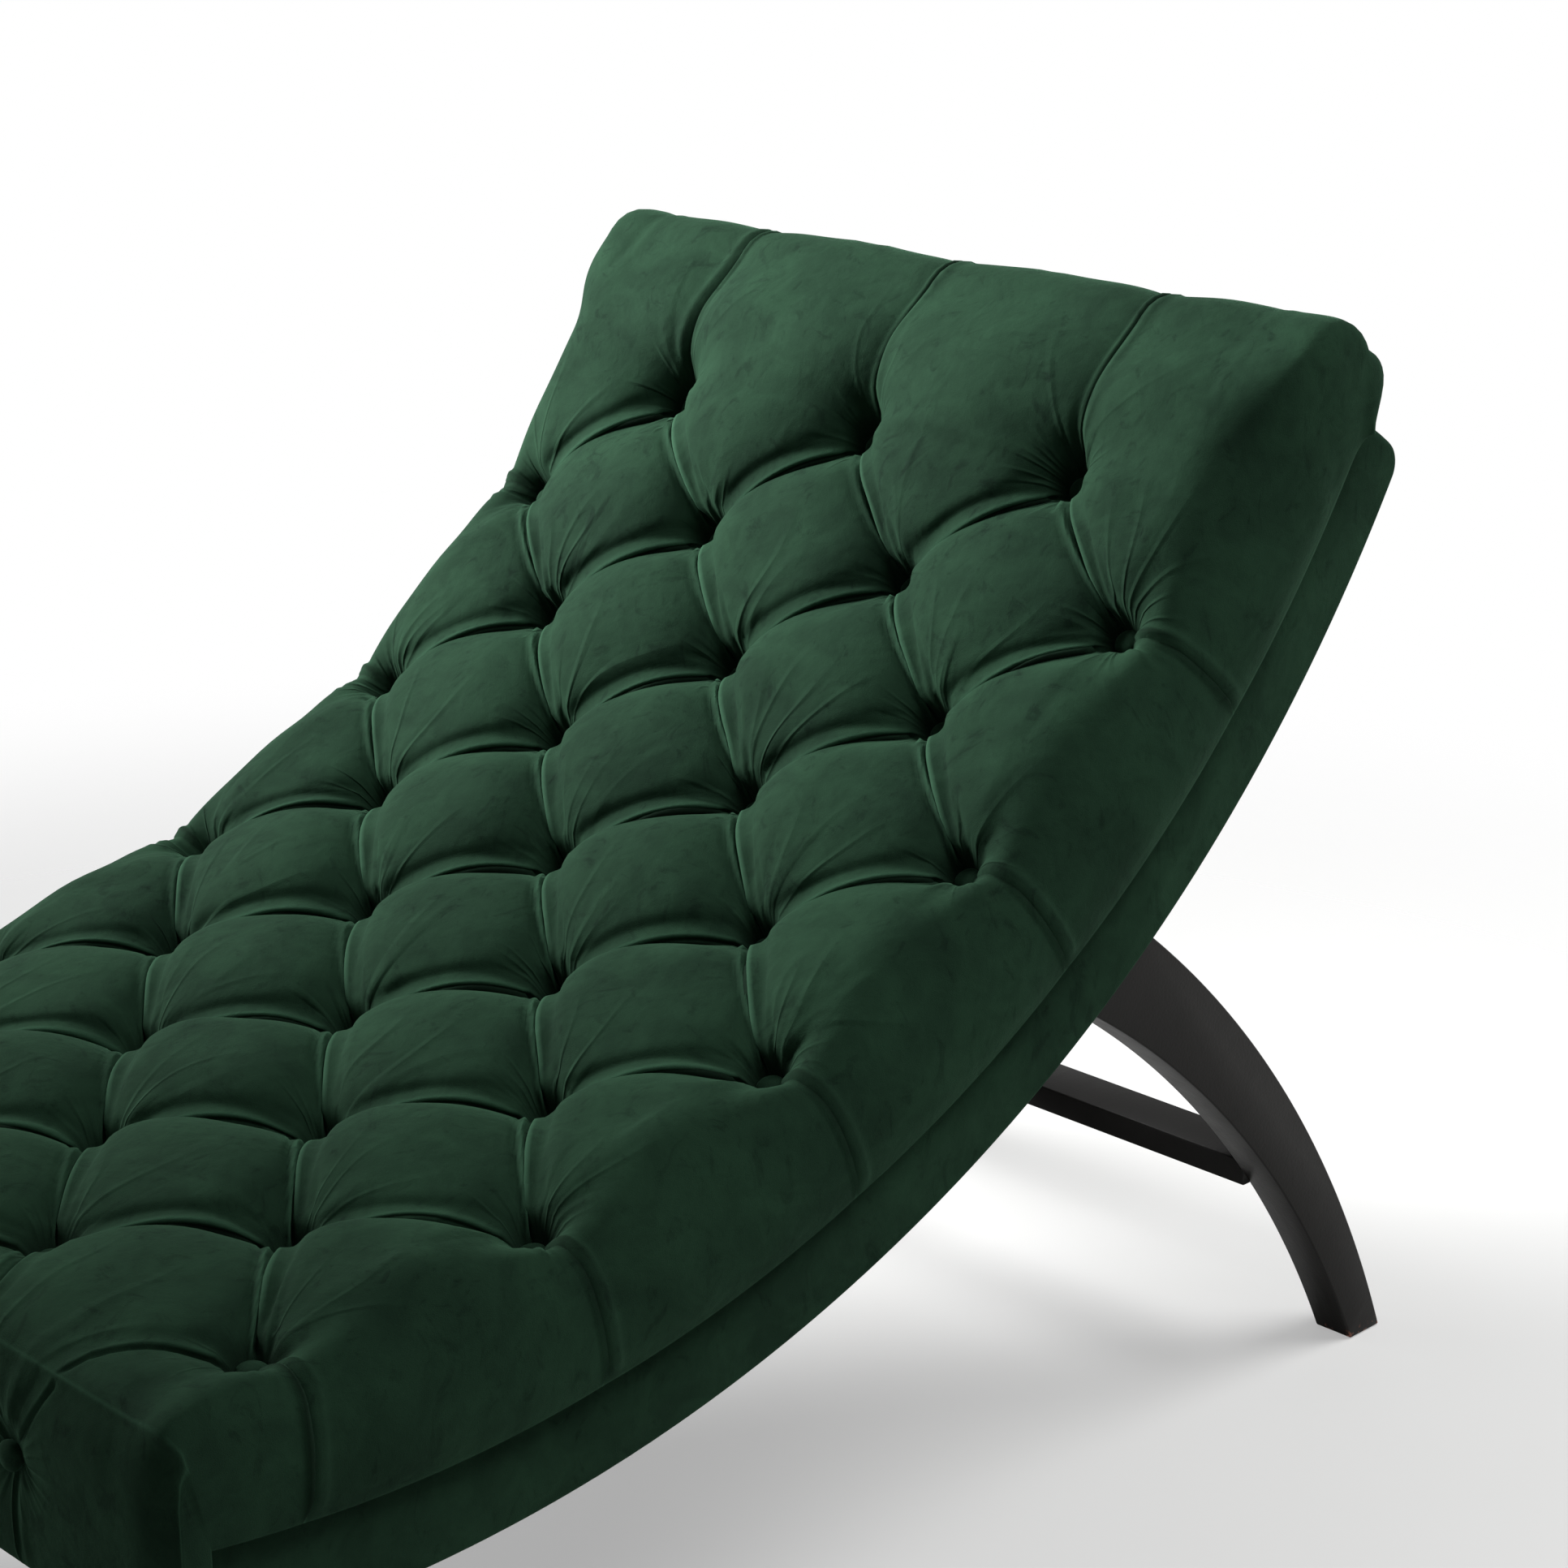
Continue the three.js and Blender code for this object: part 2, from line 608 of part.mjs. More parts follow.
for (const side of [-1, 1]) {
  const rail = board(baseOutline(railTop, frameInset, baseFront), railThickness, side * railMiddle);
  const name = side < 0 ? "side_rail_left" : "side_rail_right";
  add(name, cut(rail, boltHole(1, side), boltHole(-1, side)), timber);
}

// Boards between the side rails
const crossLength = 2 * (railInnerFace - fitGap);
const railHeight = railBottom - railTop;
function crossRail(name, angle) {
  const box = new THREE.BoxGeometry(crossRailThickness, crossLength, railHeight - 2 * fitGap);
  const rail = add(name, box, timber);
  const middle = onArc((railTop + railBottom) / 2, angle);
  rail.position.set(middle.x, 0, middle.y);
  rail.rotation.y = -angle;
}
crossRail("back_rail", backRailAngle);
crossRail("seat_rail", seatRailAngle);
crossRail("front_rail", frontAngle(railBottom, baseFront - frontRailInset - crossRailThickness));

const headRailFront = baseHeadAngle - (frameInset + crossRailThickness) / railTop;
const beforeHeadRail = [
  ...arcPoints(bandRadius, frontAngle(bandRadius, baseFront + overrunLength), headRailFront),
  ...arcPoints(railTop - overrunLength, headRailFront, frontAngle(railTop, baseFront + overrunLength)),
];
const headRail = cut(
  board(baseOutline(railTop, frameInset, baseFront), crossLength),
  board(beforeHeadRail, crossLength + 2 * overrunLength),
);
add("head_rail", headRail, timber);

// Dust cover under the frame, notched around the legs
const dustTop = bandRadius + fitGap;
const dustHead = baseHeadAngle - (baseCornerRadius + dustCoverInset) / bandRadius;
const dustFront = baseFront - dustCoverInset;
const dustOutline = [
  ...arcPoints(dustTop + dustCoverThickness, frontAngle(dustTop, dustFront), dustHead),
  ...arcPoints(dustTop, dustHead, frontAngle(dustTop, dustFront)),
];
const notchOuter = baseWidth / 2 - dustCoverInset + overrunLength;
const notchWidth = notchOuter - (legMiddle - legThickness / 2) + fitGap;
const notches = pairs.map(({ end, side }) => {
  const outline = legOutline(end).map(({ x, y }, at) => {
    const outward = at <= legSteps ? end : -end;
    return new THREE.Vector2(x + outward * overrunLength, y);
  });
  return board(outline, notchWidth, side * (notchOuter - notchWidth / 2));
});
add("dust_cover", cut(board(dustOutline, baseWidth - 2 * dustCoverInset), ...notches), cambric);

export default couch;
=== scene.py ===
"""Looks of the fainting couch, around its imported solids: the deep-buttoned velvet mattress, its buttons,
the velvet band of the base, the lacquered legs and stretcher, and finishes for the pieces inside.
Metres. +X runs towards the head, +Y across the couch, +Z up."""
import math

import bmesh
import bpy
import numpy as np
from mathutils import Matrix, Vector


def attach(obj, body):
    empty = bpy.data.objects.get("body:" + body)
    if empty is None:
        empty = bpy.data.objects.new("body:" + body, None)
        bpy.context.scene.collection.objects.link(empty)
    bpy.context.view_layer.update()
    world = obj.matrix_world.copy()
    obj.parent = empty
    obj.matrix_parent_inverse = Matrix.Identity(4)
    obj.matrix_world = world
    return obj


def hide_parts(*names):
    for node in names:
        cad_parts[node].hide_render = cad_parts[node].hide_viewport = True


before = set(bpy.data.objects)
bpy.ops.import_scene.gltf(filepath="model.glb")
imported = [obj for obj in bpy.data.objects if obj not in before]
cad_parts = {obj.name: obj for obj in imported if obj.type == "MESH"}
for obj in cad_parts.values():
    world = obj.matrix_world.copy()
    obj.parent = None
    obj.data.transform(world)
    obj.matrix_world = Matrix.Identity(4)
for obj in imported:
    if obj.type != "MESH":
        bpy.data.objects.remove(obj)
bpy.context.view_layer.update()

MM = 0.001

# Seat arc and the line of the buttons, as in the solids (mm)
BUTTON_RADIUS = 984
SEAM_RADIUS = 1058
BAND_RADIUS = 1131
SEAT_HEIGHT = 360
FRONT_REACH = 235
REAR_REACH = 1054
ARC_X = (FRONT_REACH - REAR_REACH) / 2
ARC_Z = SEAT_HEIGHT + BUTTON_RADIUS
HEAD_SEAM_ANGLE = math.radians(60.3)
HEAD_FACE_TILT = math.radians(20)
HEAD_ROUND = 20
HEAD_LIP = 14  # bottom of the head face, short of the seam
FRONT_DEPTH = 202  # in front of the arc's centre
FRONT_ROUND = 22
APRON = 26  # thickness of the front face where it hangs before the base
FIT = 0.3  # between pieces that touch

# Buttons and tufts (mm)
SPACING = 220
PITCH = 112.8
FIRST_ROW_ANGLE = math.radians(53.3)
SEAT_ROWS = 10
FRONT_ROW_DROP = 45
CROWN = 51  # top of a puff above the buttons
MIDDLE_RISE = 11  # more than that, away from the sides
PUFF_ROUND = 2.1
PLEAT = 38  # middle of a pleat above the buttons
HEAD_CROWN, HEAD_PLEAT = 14, 9
HEAD_LEVEL_RUN = 70  # past the first buttons, before the head falls
HEAD_BULGE = 17
HEAD_TUCK, TUCK_RUN = 9, 26
FOOT_CROWN = 20
FRONT_CROWN, FRONT_PLEAT = 13, 6
BOTTOM_ROUND = 9
SIDE_EASE = 1.6  # half spacings in which the middle's rise comes in
PIT_FLOOR, PIT_WALL = 4, 17
SIDE_DEPTH = SEAM_RADIUS - BUTTON_RADIUS
HALF = SPACING / 2
OUTER = 3  # outer buttons of the long rows, in half spacings
DIAMOND = math.hypot(HALF, PITCH)  # from a button to the next along a pleat


def clamp(value):
    return np.clip(value, 0, 1)


def mix(start, end, share):
    return start + (end - start) * share


def swell(share):
    """Rises at once and levels off at 1."""
    return 1 - (1 - share) ** 2


def ease(share):
    share = clamp(share)
    return share * share * (3 - 2 * share)


def bump_at(value, middle, width):
    return np.exp(-(((value - middle) / width) ** 2))


def on_arc(radius, angle):
    """Place on an arc round the couch's centre, the angle being 0 straight down and growing to the head."""
    return ARC_X + radius * np.sin(angle), ARC_Z - radius * np.cos(angle)


def front_angle(radius, depth):
    return -math.asin(depth / radius)


# Line of the buttons: head face, head round, seat arc, front round, front face
front_arc = front_angle(BUTTON_RADIUS + FRONT_ROUND, FRONT_DEPTH - FRONT_ROUND)
head_seam = Vector(on_arc(SEAM_RADIUS - FIT, HEAD_SEAM_ANGLE))
face_up = Vector((-math.sin(HEAD_FACE_TILT), math.cos(HEAD_FACE_TILT)))
face_out = Vector((math.cos(HEAD_FACE_TILT), math.sin(HEAD_FACE_TILT)))
round_base = head_seam - HEAD_ROUND * face_out - Vector((ARC_X, ARC_Z))
along = round_base.dot(face_up)
face_length = -along - math.sqrt(along**2 - round_base.length_squared + (BUTTON_RADIUS + HEAD_ROUND) ** 2)
round_centre = round_base + face_length * face_up
head_arc = math.atan2(round_centre.x, -round_centre.y)
head_turn = math.pi / 2 + head_arc - HEAD_FACE_TILT
front_turn = math.pi / 2 - front_arc
face_top = ARC_Z - (BUTTON_RADIUS + FRONT_ROUND) * math.cos(front_arc)
apron_bottom = on_arc(BAND_RADIUS, front_angle(BAND_RADIUS, FRONT_DEPTH))[1]
LINE = [
    (face_length, 0),
    (HEAD_ROUND * head_turn, head_turn),
    (BUTTON_RADIUS * (head_arc - front_arc), front_arc - head_arc),
    (FRONT_ROUND * front_turn, front_turn),
    (face_top - apron_bottom, 0),
]
STARTS = [sum(length for length, _ in LINE[:at]) for at in range(6)]
LENGTH = STARTS[5]

first_row = STARTS[2] + BUTTON_RADIUS * (head_arc - FIRST_ROW_ANGLE)
ROWS = [first_row + row * PITCH for row in range(SEAT_ROWS)] + [STARTS[4] + FRONT_ROW_DROP]
LAST = len(ROWS) - 1
HEAD_RUN = ROWS[0]
FRONT_RUN = LENGTH - ROWS[LAST]


def on_line(distance):
    """Place and outward direction at distances along the line of the buttons."""
    x = np.full_like(distance, head_seam.x)
    z = np.full_like(distance, head_seam.y)
    heading = np.full_like(distance, math.pi / 2 + HEAD_FACE_TILT)
    for (length, turn), start in zip(LINE, STARTS):
        run = np.clip(distance - start, 0, length)
        bend = turn * run / length
        chord = run * np.sinc(bend / (2 * math.pi))
        x += chord * np.cos(heading + bend / 2)
        z += chord * np.sin(heading + bend / 2)
        heading += bend
    return x, z, np.sin(heading), -np.cos(heading)


SEAM = SEAM_RADIUS - FIT
APRON_BACK = FRONT_DEPTH - APRON
back_corner = front_angle(SEAM, APRON_BACK)
corner_level = on_arc(SEAM, back_corner)[1]
FRONT_SEAM_SHARE = 0.465  # of the way round the front, where a seam joins the front panel
FRONT_SEAM = mix(STARTS[3], STARTS[4], FRONT_SEAM_SHARE)


def angle_at(distance):
    """Angle round the arc's centre of a distance along the line of the buttons."""
    return head_arc - (distance - STARTS[2]) / BUTTON_RADIUS


def seam_mate(distance):
    """Place on the seam, or on the back of the apron, that belongs to a distance along the line."""
    angle = angle_at(distance)
    head_end = HEAD_SEAM_ANGLE - HEAD_LIP / SEAM
    angle = np.where(distance < ROWS[0], mix(head_end, angle_at(ROWS[0]), distance / ROWS[0]), angle)
    share = (distance - ROWS[LAST - 1]) / (FRONT_SEAM - ROWS[LAST - 1])
    angle = np.where(share > 0, mix(angle_at(ROWS[LAST - 1]), back_corner, np.minimum(share, 1)), angle)
    x, z = on_arc(SEAM, angle)
    down = (distance - FRONT_SEAM) / (LENGTH - FRONT_SEAM)
    z = np.where(down > 0, mix(corner_level, apron_bottom, down), z)
    return np.where(down > 0, ARC_X - APRON_BACK, x), z


# Heights above the line of the buttons (mm)
def round_over(share, power=0.62):
    """0 at a pleat and 1 in the middle of a puff, steep at the pleat."""
    return np.maximum(1 - np.abs(1 - 2 * share) ** PUFF_ROUND, 0) ** power


def dome(share):
    """0 at both ends and 1 in the middle."""
    return 1 - (2 * share - 1) ** 2


def crown_at(row):
    """Crown of the puffs, lower over the last two rows."""
    return mix(CROWN, FOOT_CROWN, clamp((row - (LAST - 2)) / 2))


def in_from_side(column):
    """0 at the outer buttons, 1 well in from them."""
    return ease((OUTER - np.abs(column)) / SIDE_EASE)


rng = np.random.default_rng(11)
PUFF_SIZES = rng.uniform(0.93, 1.05, (16, 16))


def field_height(row, column):
    """Height of the diamonds, p and q being whole on the pleats, a and b shares between two of them."""
    p, q = (row + column) / 2, (row - column) / 2
    a, b = p - np.floor(p), q - np.floor(q)
    top = crown_at(row)
    size = PUFF_SIZES[np.floor(p).astype(int) % 16, np.floor(q).astype(int) % 16]
    tucked = (1 - ease(a / 0.8)) * (1 - ease(b / 0.5))
    full = round_over(a, mix(0.95, 0.5, ease(a / 0.7))) * round_over(b, mix(0.58, 1.9, tucked))
    valley = PLEAT * top / CROWN * (dome(a) + dome(b) - dome(a) * dome(b))
    from_side = in_from_side(column)
    inner = ease(1.4 * full - 0.2) * from_side
    top = top * (1 + MIDDLE_RISE / CROWN * from_side) * mix(1, size, inner)
    return valley + (top - valley) * full


def straight_share(column):
    """How far a place at an end is from the nearest of its three straight pleats."""
    size = np.abs(column)
    nearest = np.where(size > 1, 2, 0)
    return clamp(np.abs(size - nearest))


END_VALLEY_RUN, END_START_RUN, END_PUFF_RUN = 66, 40, 50  # in which an end's own pleats and puffs take over


def end_height(column, run, top, pleat, start_top, length, level_run=0):
    """Height past the last row of an end, run mm beyond it. It stays level for level_run, then falls."""
    away = straight_share(column)
    start_valley = PLEAT * start_top / CROWN * (2 * swell(away) - swell(away) ** 2)
    fall = ease((run - level_run) / (length - level_run))
    valley = mix(PLEAT * start_top / CROWN * swell(clamp(run / END_VALLEY_RUN)), pleat, fall)
    valley = mix(start_valley, valley, ease(run / END_START_RUN))
    middle = 1 + MIDDLE_RISE / CROWN * in_from_side(column) * (1 - fall)
    crown = mix(start_top, top, fall) * middle
    full = round_over(away / 2) ** mix(2, 1, ease(run / END_PUFF_RUN))
    return valley + (crown - valley) * full


def pit(row, column):
    """0 under each button and 1 a little away from it: a narrow pit with steep walls."""
    near_p, near_q = np.round((row + column) / 2), np.round((row - column) / 2)
    ahead = (row - (near_p + near_q)) * PITCH
    beside = (column - (near_p - near_q)) * HALF
    no_button = (near_p + near_q < 0) | (near_p + near_q > LAST)
    return np.where(no_button, 1, ease((np.hypot(ahead, beside) - PIT_FLOOR) / PIT_WALL))


# Seam over the front panel (mm)
FRONT_CORNER = 0.6  # share of the side at which the panel's own corner runs down
SEAM_REACH = 17.5  # in front of the centre of the round
SEAM_RISE = 7.5
SEAM_SINK = 60  # run over which the top sinks to the seam
PANEL_SWELL, PANEL_SWELL_RUN = 0.32, 50
STEEPEST = 0.5  # keeps the panel from running away where it turns level


def front_panel(height, distance):
    """Heights near the front, where a seam joins the top to a flatter panel."""
    past = distance - FRONT_SEAM
    top = mix(SEAM_RISE, height, swell(clamp(-past / SEAM_SINK)))
    turned = clamp((distance - STARTS[3]) / (STARTS[4] - STARTS[3])) * front_turn - (front_turn - math.pi / 2)
    reach = mix(SEAM_REACH, FRONT_ROUND, clamp(past / (STARTS[4] - FRONT_SEAM)))
    panel = reach / np.sin(np.maximum(turned, STEEPEST)) - FRONT_ROUND
    panel = panel + PANEL_SWELL * height * swell(clamp(past / PANEL_SWELL_RUN))
    return np.where(past > 0, panel, top)


def tuft_height(distance, row, column):
    """Height of the mattress above the line of the buttons, up to the outer buttons."""
    inside = np.clip(column, -OUTER, OUTER)
    height = field_height(np.clip(row, 0, LAST), inside)
    head_run = ROWS[0] - distance
    head = end_height(inside, head_run, HEAD_CROWN, HEAD_PLEAT, CROWN, ROWS[0] - STARTS[1], HEAD_LEVEL_RUN)
    front_run = distance - ROWS[LAST]
    front = end_height(inside, front_run, FRONT_CROWN, FRONT_PLEAT, FOOT_CROWN, FRONT_RUN)
    height = np.where(head_run > 0, head, height)
    height = np.where(front_run > 0, front, height) * pit(row, inside)
    on_face = clamp(distance / face_length)
    height = height * swell(on_face) + HEAD_BULGE * dome(on_face)
    return height * np.sqrt(clamp((LENGTH - distance) / BOTTOM_ROUND))


# Side of the mattress, from the outer buttons over the edge and down to the seam: reach across, height
PUFF_SIDE = [(330, 50), (343, 48.5), (355, 44), (366.5, 36), (377, 25), (385, 12), (391, -3), (395, -20),
             (397, -38), (395.5, -56), (389, -74)]
PLEAT_SIDE = [(330, 0), (338, 2.5), (348, 11), (360, 16.5), (372, 13), (381, 5), (387, -9), (391, -26),
              (392, -43), (391, -60), (388, -74)]
SQUARE_SIDE = [(330, 50), (345, 50), (360, 49), (372, 45), (382, 36), (389, 12), (390, -12), (391, -30),
               (391, -45), (390, -60), (389, -74)]
PANEL_SIDE = [(330, 50), (346, 40), (360, 24), (371, 8), (380, -4), (386, -9), (389.2, -14), (389.6, -23),
              (390, -37), (390, -55), (389, -74)]
HEAD_SIDE = [(330, 50), (346, 51), (362, 52), (376, 51), (387, 46), (394, 34), (398, 14), (399, -12),
             (399, -34), (396, -56), (389, -74)]


def along_side(points, share, part):
    """Smooth curve through the points, read at shares of its length."""
    values = [point[part] for point in points]
    padded = np.array([2 * values[0] - values[1], *values, 2 * values[-1] - values[-2]])
    place = np.clip(share, 0, 1) * (len(values) - 1)
    at = np.minimum(np.floor(place), len(values) - 2).astype(int)
    t = place - at
    before, start, end, after = (padded[at + step] for step in range(4))
    return 0.5 * (2 * start + (end - before) * t + (2 * before - 5 * start + 4 * end - after) * t**2
                  + (3 * start - before - 3 * end + after) * t**3)


def from_odd_row(row):
    """Distance in rows from the nearest side pleat, 1 beyond the first and last of them."""
    nearest = np.clip(2 * np.floor(row / 2) + 1, 1, LAST - 1)
    return clamp(np.abs(row - nearest))


def distance_at(row):
    inner = np.interp(row, np.arange(LAST + 1), ROWS)
    inner = np.where(row < 0, ROWS[0] + row * PITCH, inner)
    return np.where(row > LAST, ROWS[LAST] + (row - LAST) * PITCH, inner)


SIDE_START = 0.3  # share of the side in which its own puffs take over


def mattress_surface(row, column, slide_along, slide_across):
    """Place of each point of the mattress. Past the outer buttons a column goes over the edge and down."""
    distance = np.clip(distance_at(row), 0, LENGTH)
    slid = np.clip(distance + slide_along, 0, LENGTH)
    x, z, out_x, out_z = on_line(slid)
    mate_x, mate_z = seam_mate(slid)
    side = clamp(np.abs(column) - OUTER)
    height = tuft_height(distance, row, column)
    away = from_odd_row(row)
    top = np.maximum(height, 1)
    at_button = round_over(away / 2) ** mix(2, 1, ease(side / SIDE_START))
    start = tuft_height(distance, row, np.full_like(row, OUTER)) / np.maximum(crown_at(row), 1)
    full = np.where((row >= 0) & (row <= LAST), mix(start, at_button, ease(side / SIDE_START)), 1)
    reach, level = along_side(PUFF_SIDE, side, 0), along_side(PUFF_SIDE, side, 1)
    for shape, share in ((SQUARE_SIDE, ease((row - (LAST - 1.6)) / 0.9)),
                         (PANEL_SIDE, ease((distance - FRONT_SEAM + 2) / 9)),
                         (HEAD_SIDE, ease(-row - 0.3))):
        reach = mix(reach, along_side(shape, side, 0), share)
        level = mix(level, along_side(shape, side, 1), share)
    edge_top = np.where((row >= 0) & (row <= LAST), crown_at(row), height)
    level = np.where(level > 0, level * edge_top / PUFF_SIDE[0][1], level)
    reach = mix(along_side(PLEAT_SIDE, side, 0), reach, full ** 0.8)
    level = mix(along_side(PLEAT_SIDE, side, 1), level, full)
    over = side > 0
    height = np.where(over, level, height)
    above = np.maximum(height, 0)
    height = height + (front_panel(above, distance) - above) * (1 - ease(side / FRONT_CORNER))
    lowered = clamp(-height / SIDE_DEPTH)
    raised = np.maximum(height, 0)
    y = np.where(over, np.sign(column) * reach, column * HALF) + slide_across
    px = mix(x, mate_x, lowered) + raised * out_x
    pz = mix(z, mate_z, lowered) + raised * out_z
    tucked = HEAD_TUCK * (1 - ease(distance / TUCK_RUN)) * (1 - lowered)
    px = px - tucked * math.cos(HEAD_SEAM_ANGLE)
    pz = pz - tucked * math.sin(HEAD_SEAM_ANGLE)
    return np.stack([px, y, pz], axis=-1) * MM


# Folds: at each pleat the fabric of the head side laps over the other side in a thin rolled lip
LIP_BUMPS = ((3.2, -2, 1.5), (-2.6, -8.5, 4), (-5, 1.3, 1.7))  # height, place across the pleat, width
LIP_SLIDE = (4.8, -1.8, 2.6)


def lap(across, strength):
    """Rise and slide (mm) of a pleat's lip, at a distance across it that grows towards the foot."""
    rise = sum(height * bump_at(across, middle, width) for height, middle, width in LIP_BUMPS)
    height, middle, width = LIP_SLIDE
    return strength * rise, strength * height * bump_at(across, middle, width)


def strand(across, middle, height, width):
    """A narrow raised fold with a crease on its foot side."""
    return height * (bump_at(across, middle, width) - 0.8 * bump_at(across, middle + 1.7 * width, width))


def taper(share, length=DIAMOND, start=9, full=26):
    """Strength along a pleat between two buttons, nothing under the buttons themselves."""
    near = np.minimum(share, 1 - share) * length
    return ease((near - start) / (full - start))


PLEAT_CHANCES = rng.uniform(0, 1, (16, 16, 8))


def pleat_details(row, column):
    """Rise, slide along and slide across (mm) of the diagonal pleats."""
    p, q = (row + column) / 2, (row - column) / 2
    rise = np.zeros_like(row)
    slides = []
    soft = ease((row - (LAST - 1) - 0.05) / 0.3)  # the last pleats before the front are slacker
    for line, position, family in ((p, q, 0), (q, p, 1)):
        nearest = np.round(line)
        across = (line - nearest) * DIAMOND
        share = position - np.floor(position)
        chance = PLEAT_CHANCES[nearest.astype(int) % 16, np.floor(position).astype(int) % 16]
        strength = taper(share) * mix(0.75, 1.15, chance[..., family]) * (1 - 0.5 * soft)
        lift, slide = lap(across, strength)
        # Extra folds run beside the main one and meet it at the button nearer the foot or the far side
        extra = taper(share, start=4, full=20)
        one, two = chance[..., 2 + family], chance[..., 4 + family]
        if family == 0:
            lift = lift + extra * strand(across, 3 + 11 * (1 - share), mix(1.2, 3, one), 1.9)
            late = ease((share - 0.35) / 0.3)
            lift = lift + extra * late * strand(across, -4 - 12 * (1 - share), mix(0.6, 2.8, two), 1.8)
        else:
            early = ease((0.55 - share) / 0.3)
            lift = lift + extra * early * strand(across, -5 - 13 * share, mix(-0.6, 2.2, one), 2)
            # The puff on the foot side dives under the lip towards the button nearer the head
            dive = ease(across / 5) * clamp(1 - across / 40) ** 2 * (1 - soft)
            dive = dive * taper(share, start=6, full=40) * (1 - ease(share / 0.75))
            lift = lift - 5 * dive * mix(0.7, 1.1, two)
        rise += lift
        slides.append(slide)
    ahead, beside = PITCH / DIAMOND, HALF / DIAMOND
    return rise, (slides[0] + slides[1]) * beside, (slides[0] - slides[1]) * ahead


CREASES, LONG_CREASES = 10, 3
LONG_FAN = 0.62  # half angle of the long creases on the head side of a button
BUTTON_CREASES = rng.uniform(0, 1, (24, 24, CREASES, 4))


def button_creases(row, column):
    """Rise (mm) of the small creases that run out of each button, and of the long ones towards the head."""
    rise = np.zeros_like(row)
    p, q = (row + column) / 2, (row - column) / 2
    for side_p in (0, 1):
        for side_q in (0, 1):
            corner_p, corner_q = np.floor(p) + side_p, np.floor(q) + side_q
            ahead = (row - (corner_p + corner_q)) * PITCH
            beside = (column - (corner_p - corner_q)) * HALF
            away = np.hypot(ahead, beside)
            turn = np.arctan2(beside, -ahead)
            marks = BUTTON_CREASES[corner_p.astype(int) % 24, corner_q.astype(int) % 24]
            for at in range(CREASES):
                lean, size, length, width = (marks[..., at, part] for part in range(4))
                if at < LONG_CREASES:  # up the puff on the head side
                    angle = mix(-LONG_FAN, LONG_FAN, (at + lean) / LONG_CREASES)
                    reach = mix(52, 104, length)
                    height = mix(-0.3, 1.5, size)
                    start = 14
                else:
                    angle = -math.pi + (at - LONG_CREASES + lean) * 2 * math.pi / (CREASES - LONG_CREASES)
                    reach = mix(22, 44, length)
                    height = mix(0.2, 1.5, size)
                    start = 8
                off = away * np.sin(turn - angle) + 0.0016 * (lean - 0.5) * away**2
                facing = ease(3 * np.cos(turn - angle) - 1)
                run = ease((away - start) / 9) * (1 - ease((away - 0.45 * reach) / (0.55 * reach)))
                wide = mix(2.2, 3.6, width) * (1 + away / 90)
                ridge = bump_at(off, 0, wide) - 0.5 * bump_at(off, 1.8 * wide, wide)
                rise += np.maximum(height, 0) * facing * run * ridge
    return rise


SIDE_FOLDS = ((-14, 2.2), (13, 1.8), (-26, 1.2))  # place beside a side pleat and height of its extra folds


def straight_pleats(row, column):
    """Rise, slide along and slide across (mm) of the side pleats and of those at the two ends."""
    side = clamp(np.abs(column) - OUTER)
    nearest = np.clip(2 * np.floor(row / 2) + 1, 1, LAST - 1)
    across = (row - nearest) * PITCH
    on_side = ease((side - 0.04) / 0.12) * ease((row + 0.2) / 0.2) * ease((LAST + 0.2 - row) / 0.2)
    rise, along_slide = lap(across, 1.35 * on_side * mix(1, 0.75, side))
    rise = rise - 1.6 * on_side * bump_at(across, -5, 1.3)
    chance = PLEAT_CHANCES[nearest.astype(int) % 16, (column > 0).astype(int)]
    short = ease((side - 0.02) / 0.1) * (1 - ease((side - 0.3) / 0.25))
    for at, (lean, height) in enumerate(SIDE_FOLDS):
        place = across + lean * (0.4 + side * 1.6)
        rise = rise + short * on_side * strand(place, 0, height * chance[..., at + 3], 2.4)
    past = np.maximum(-row, row - LAST)
    size = np.abs(column)
    nearest = np.sign(column) * np.where(size > 1, 2, 0)
    across = (column - nearest) * HALF
    at_end = ease(past * PITCH / 22) * (side <= 0)
    toward = np.where(column < 1, 1, -1)
    lift, across_slide = lap(across * toward, 0.75 * at_end)
    return rise + lift, along_slide, across_slide * toward


WAVE_HEIGHT = 0.42
WAVES = ((0.031, 0.017, 0.4), (-0.022, 0.043, 2.1), (0.057, -0.038, 4.0), (0.019, 0.066, 1.2),
         (-0.08, 0.029, 5.1))


def unevenness(row, column):
    """Soft irregularity of the stuffing (mm)."""
    u, v = row * PITCH, column * HALF
    return sum(WAVE_HEIGHT * np.sin(a * u + b * v + c) for a, b, c in WAVES)


# Spacing of the mesh across a diamond, fine at the pleats (mm from a pleat)
FROM_PLEAT = [0, 0.8, 1.6, 2.4, 3.3, 4.3, 5.5, 6.9, 8.5, 10.4, 12.8, 15.8, 19.6, 24.2, 29.6, 36, 43.4, 51.6,
              60.4, 69.6, DIAMOND / 2]
STEPS = 2 * (len(FROM_PLEAT) - 1)
END_STEPS, SIDE_STEPS = 44, 40
SEAM_CUTS = (-5, -2, -0.7, 0, 0.7, 2, 5)  # fine at the seam over the front panel


def gathered(places):
    """Even places made fine near whole numbers, where the pleats are."""
    half = np.array(FROM_PLEAT) / DIAMOND
    knots = np.concatenate([half, 1 - half[-2::-1]])
    whole = np.floor(places + 1e-6)
    return whole + np.interp(places - whole, np.linspace(0, 1, STEPS + 1), knots)


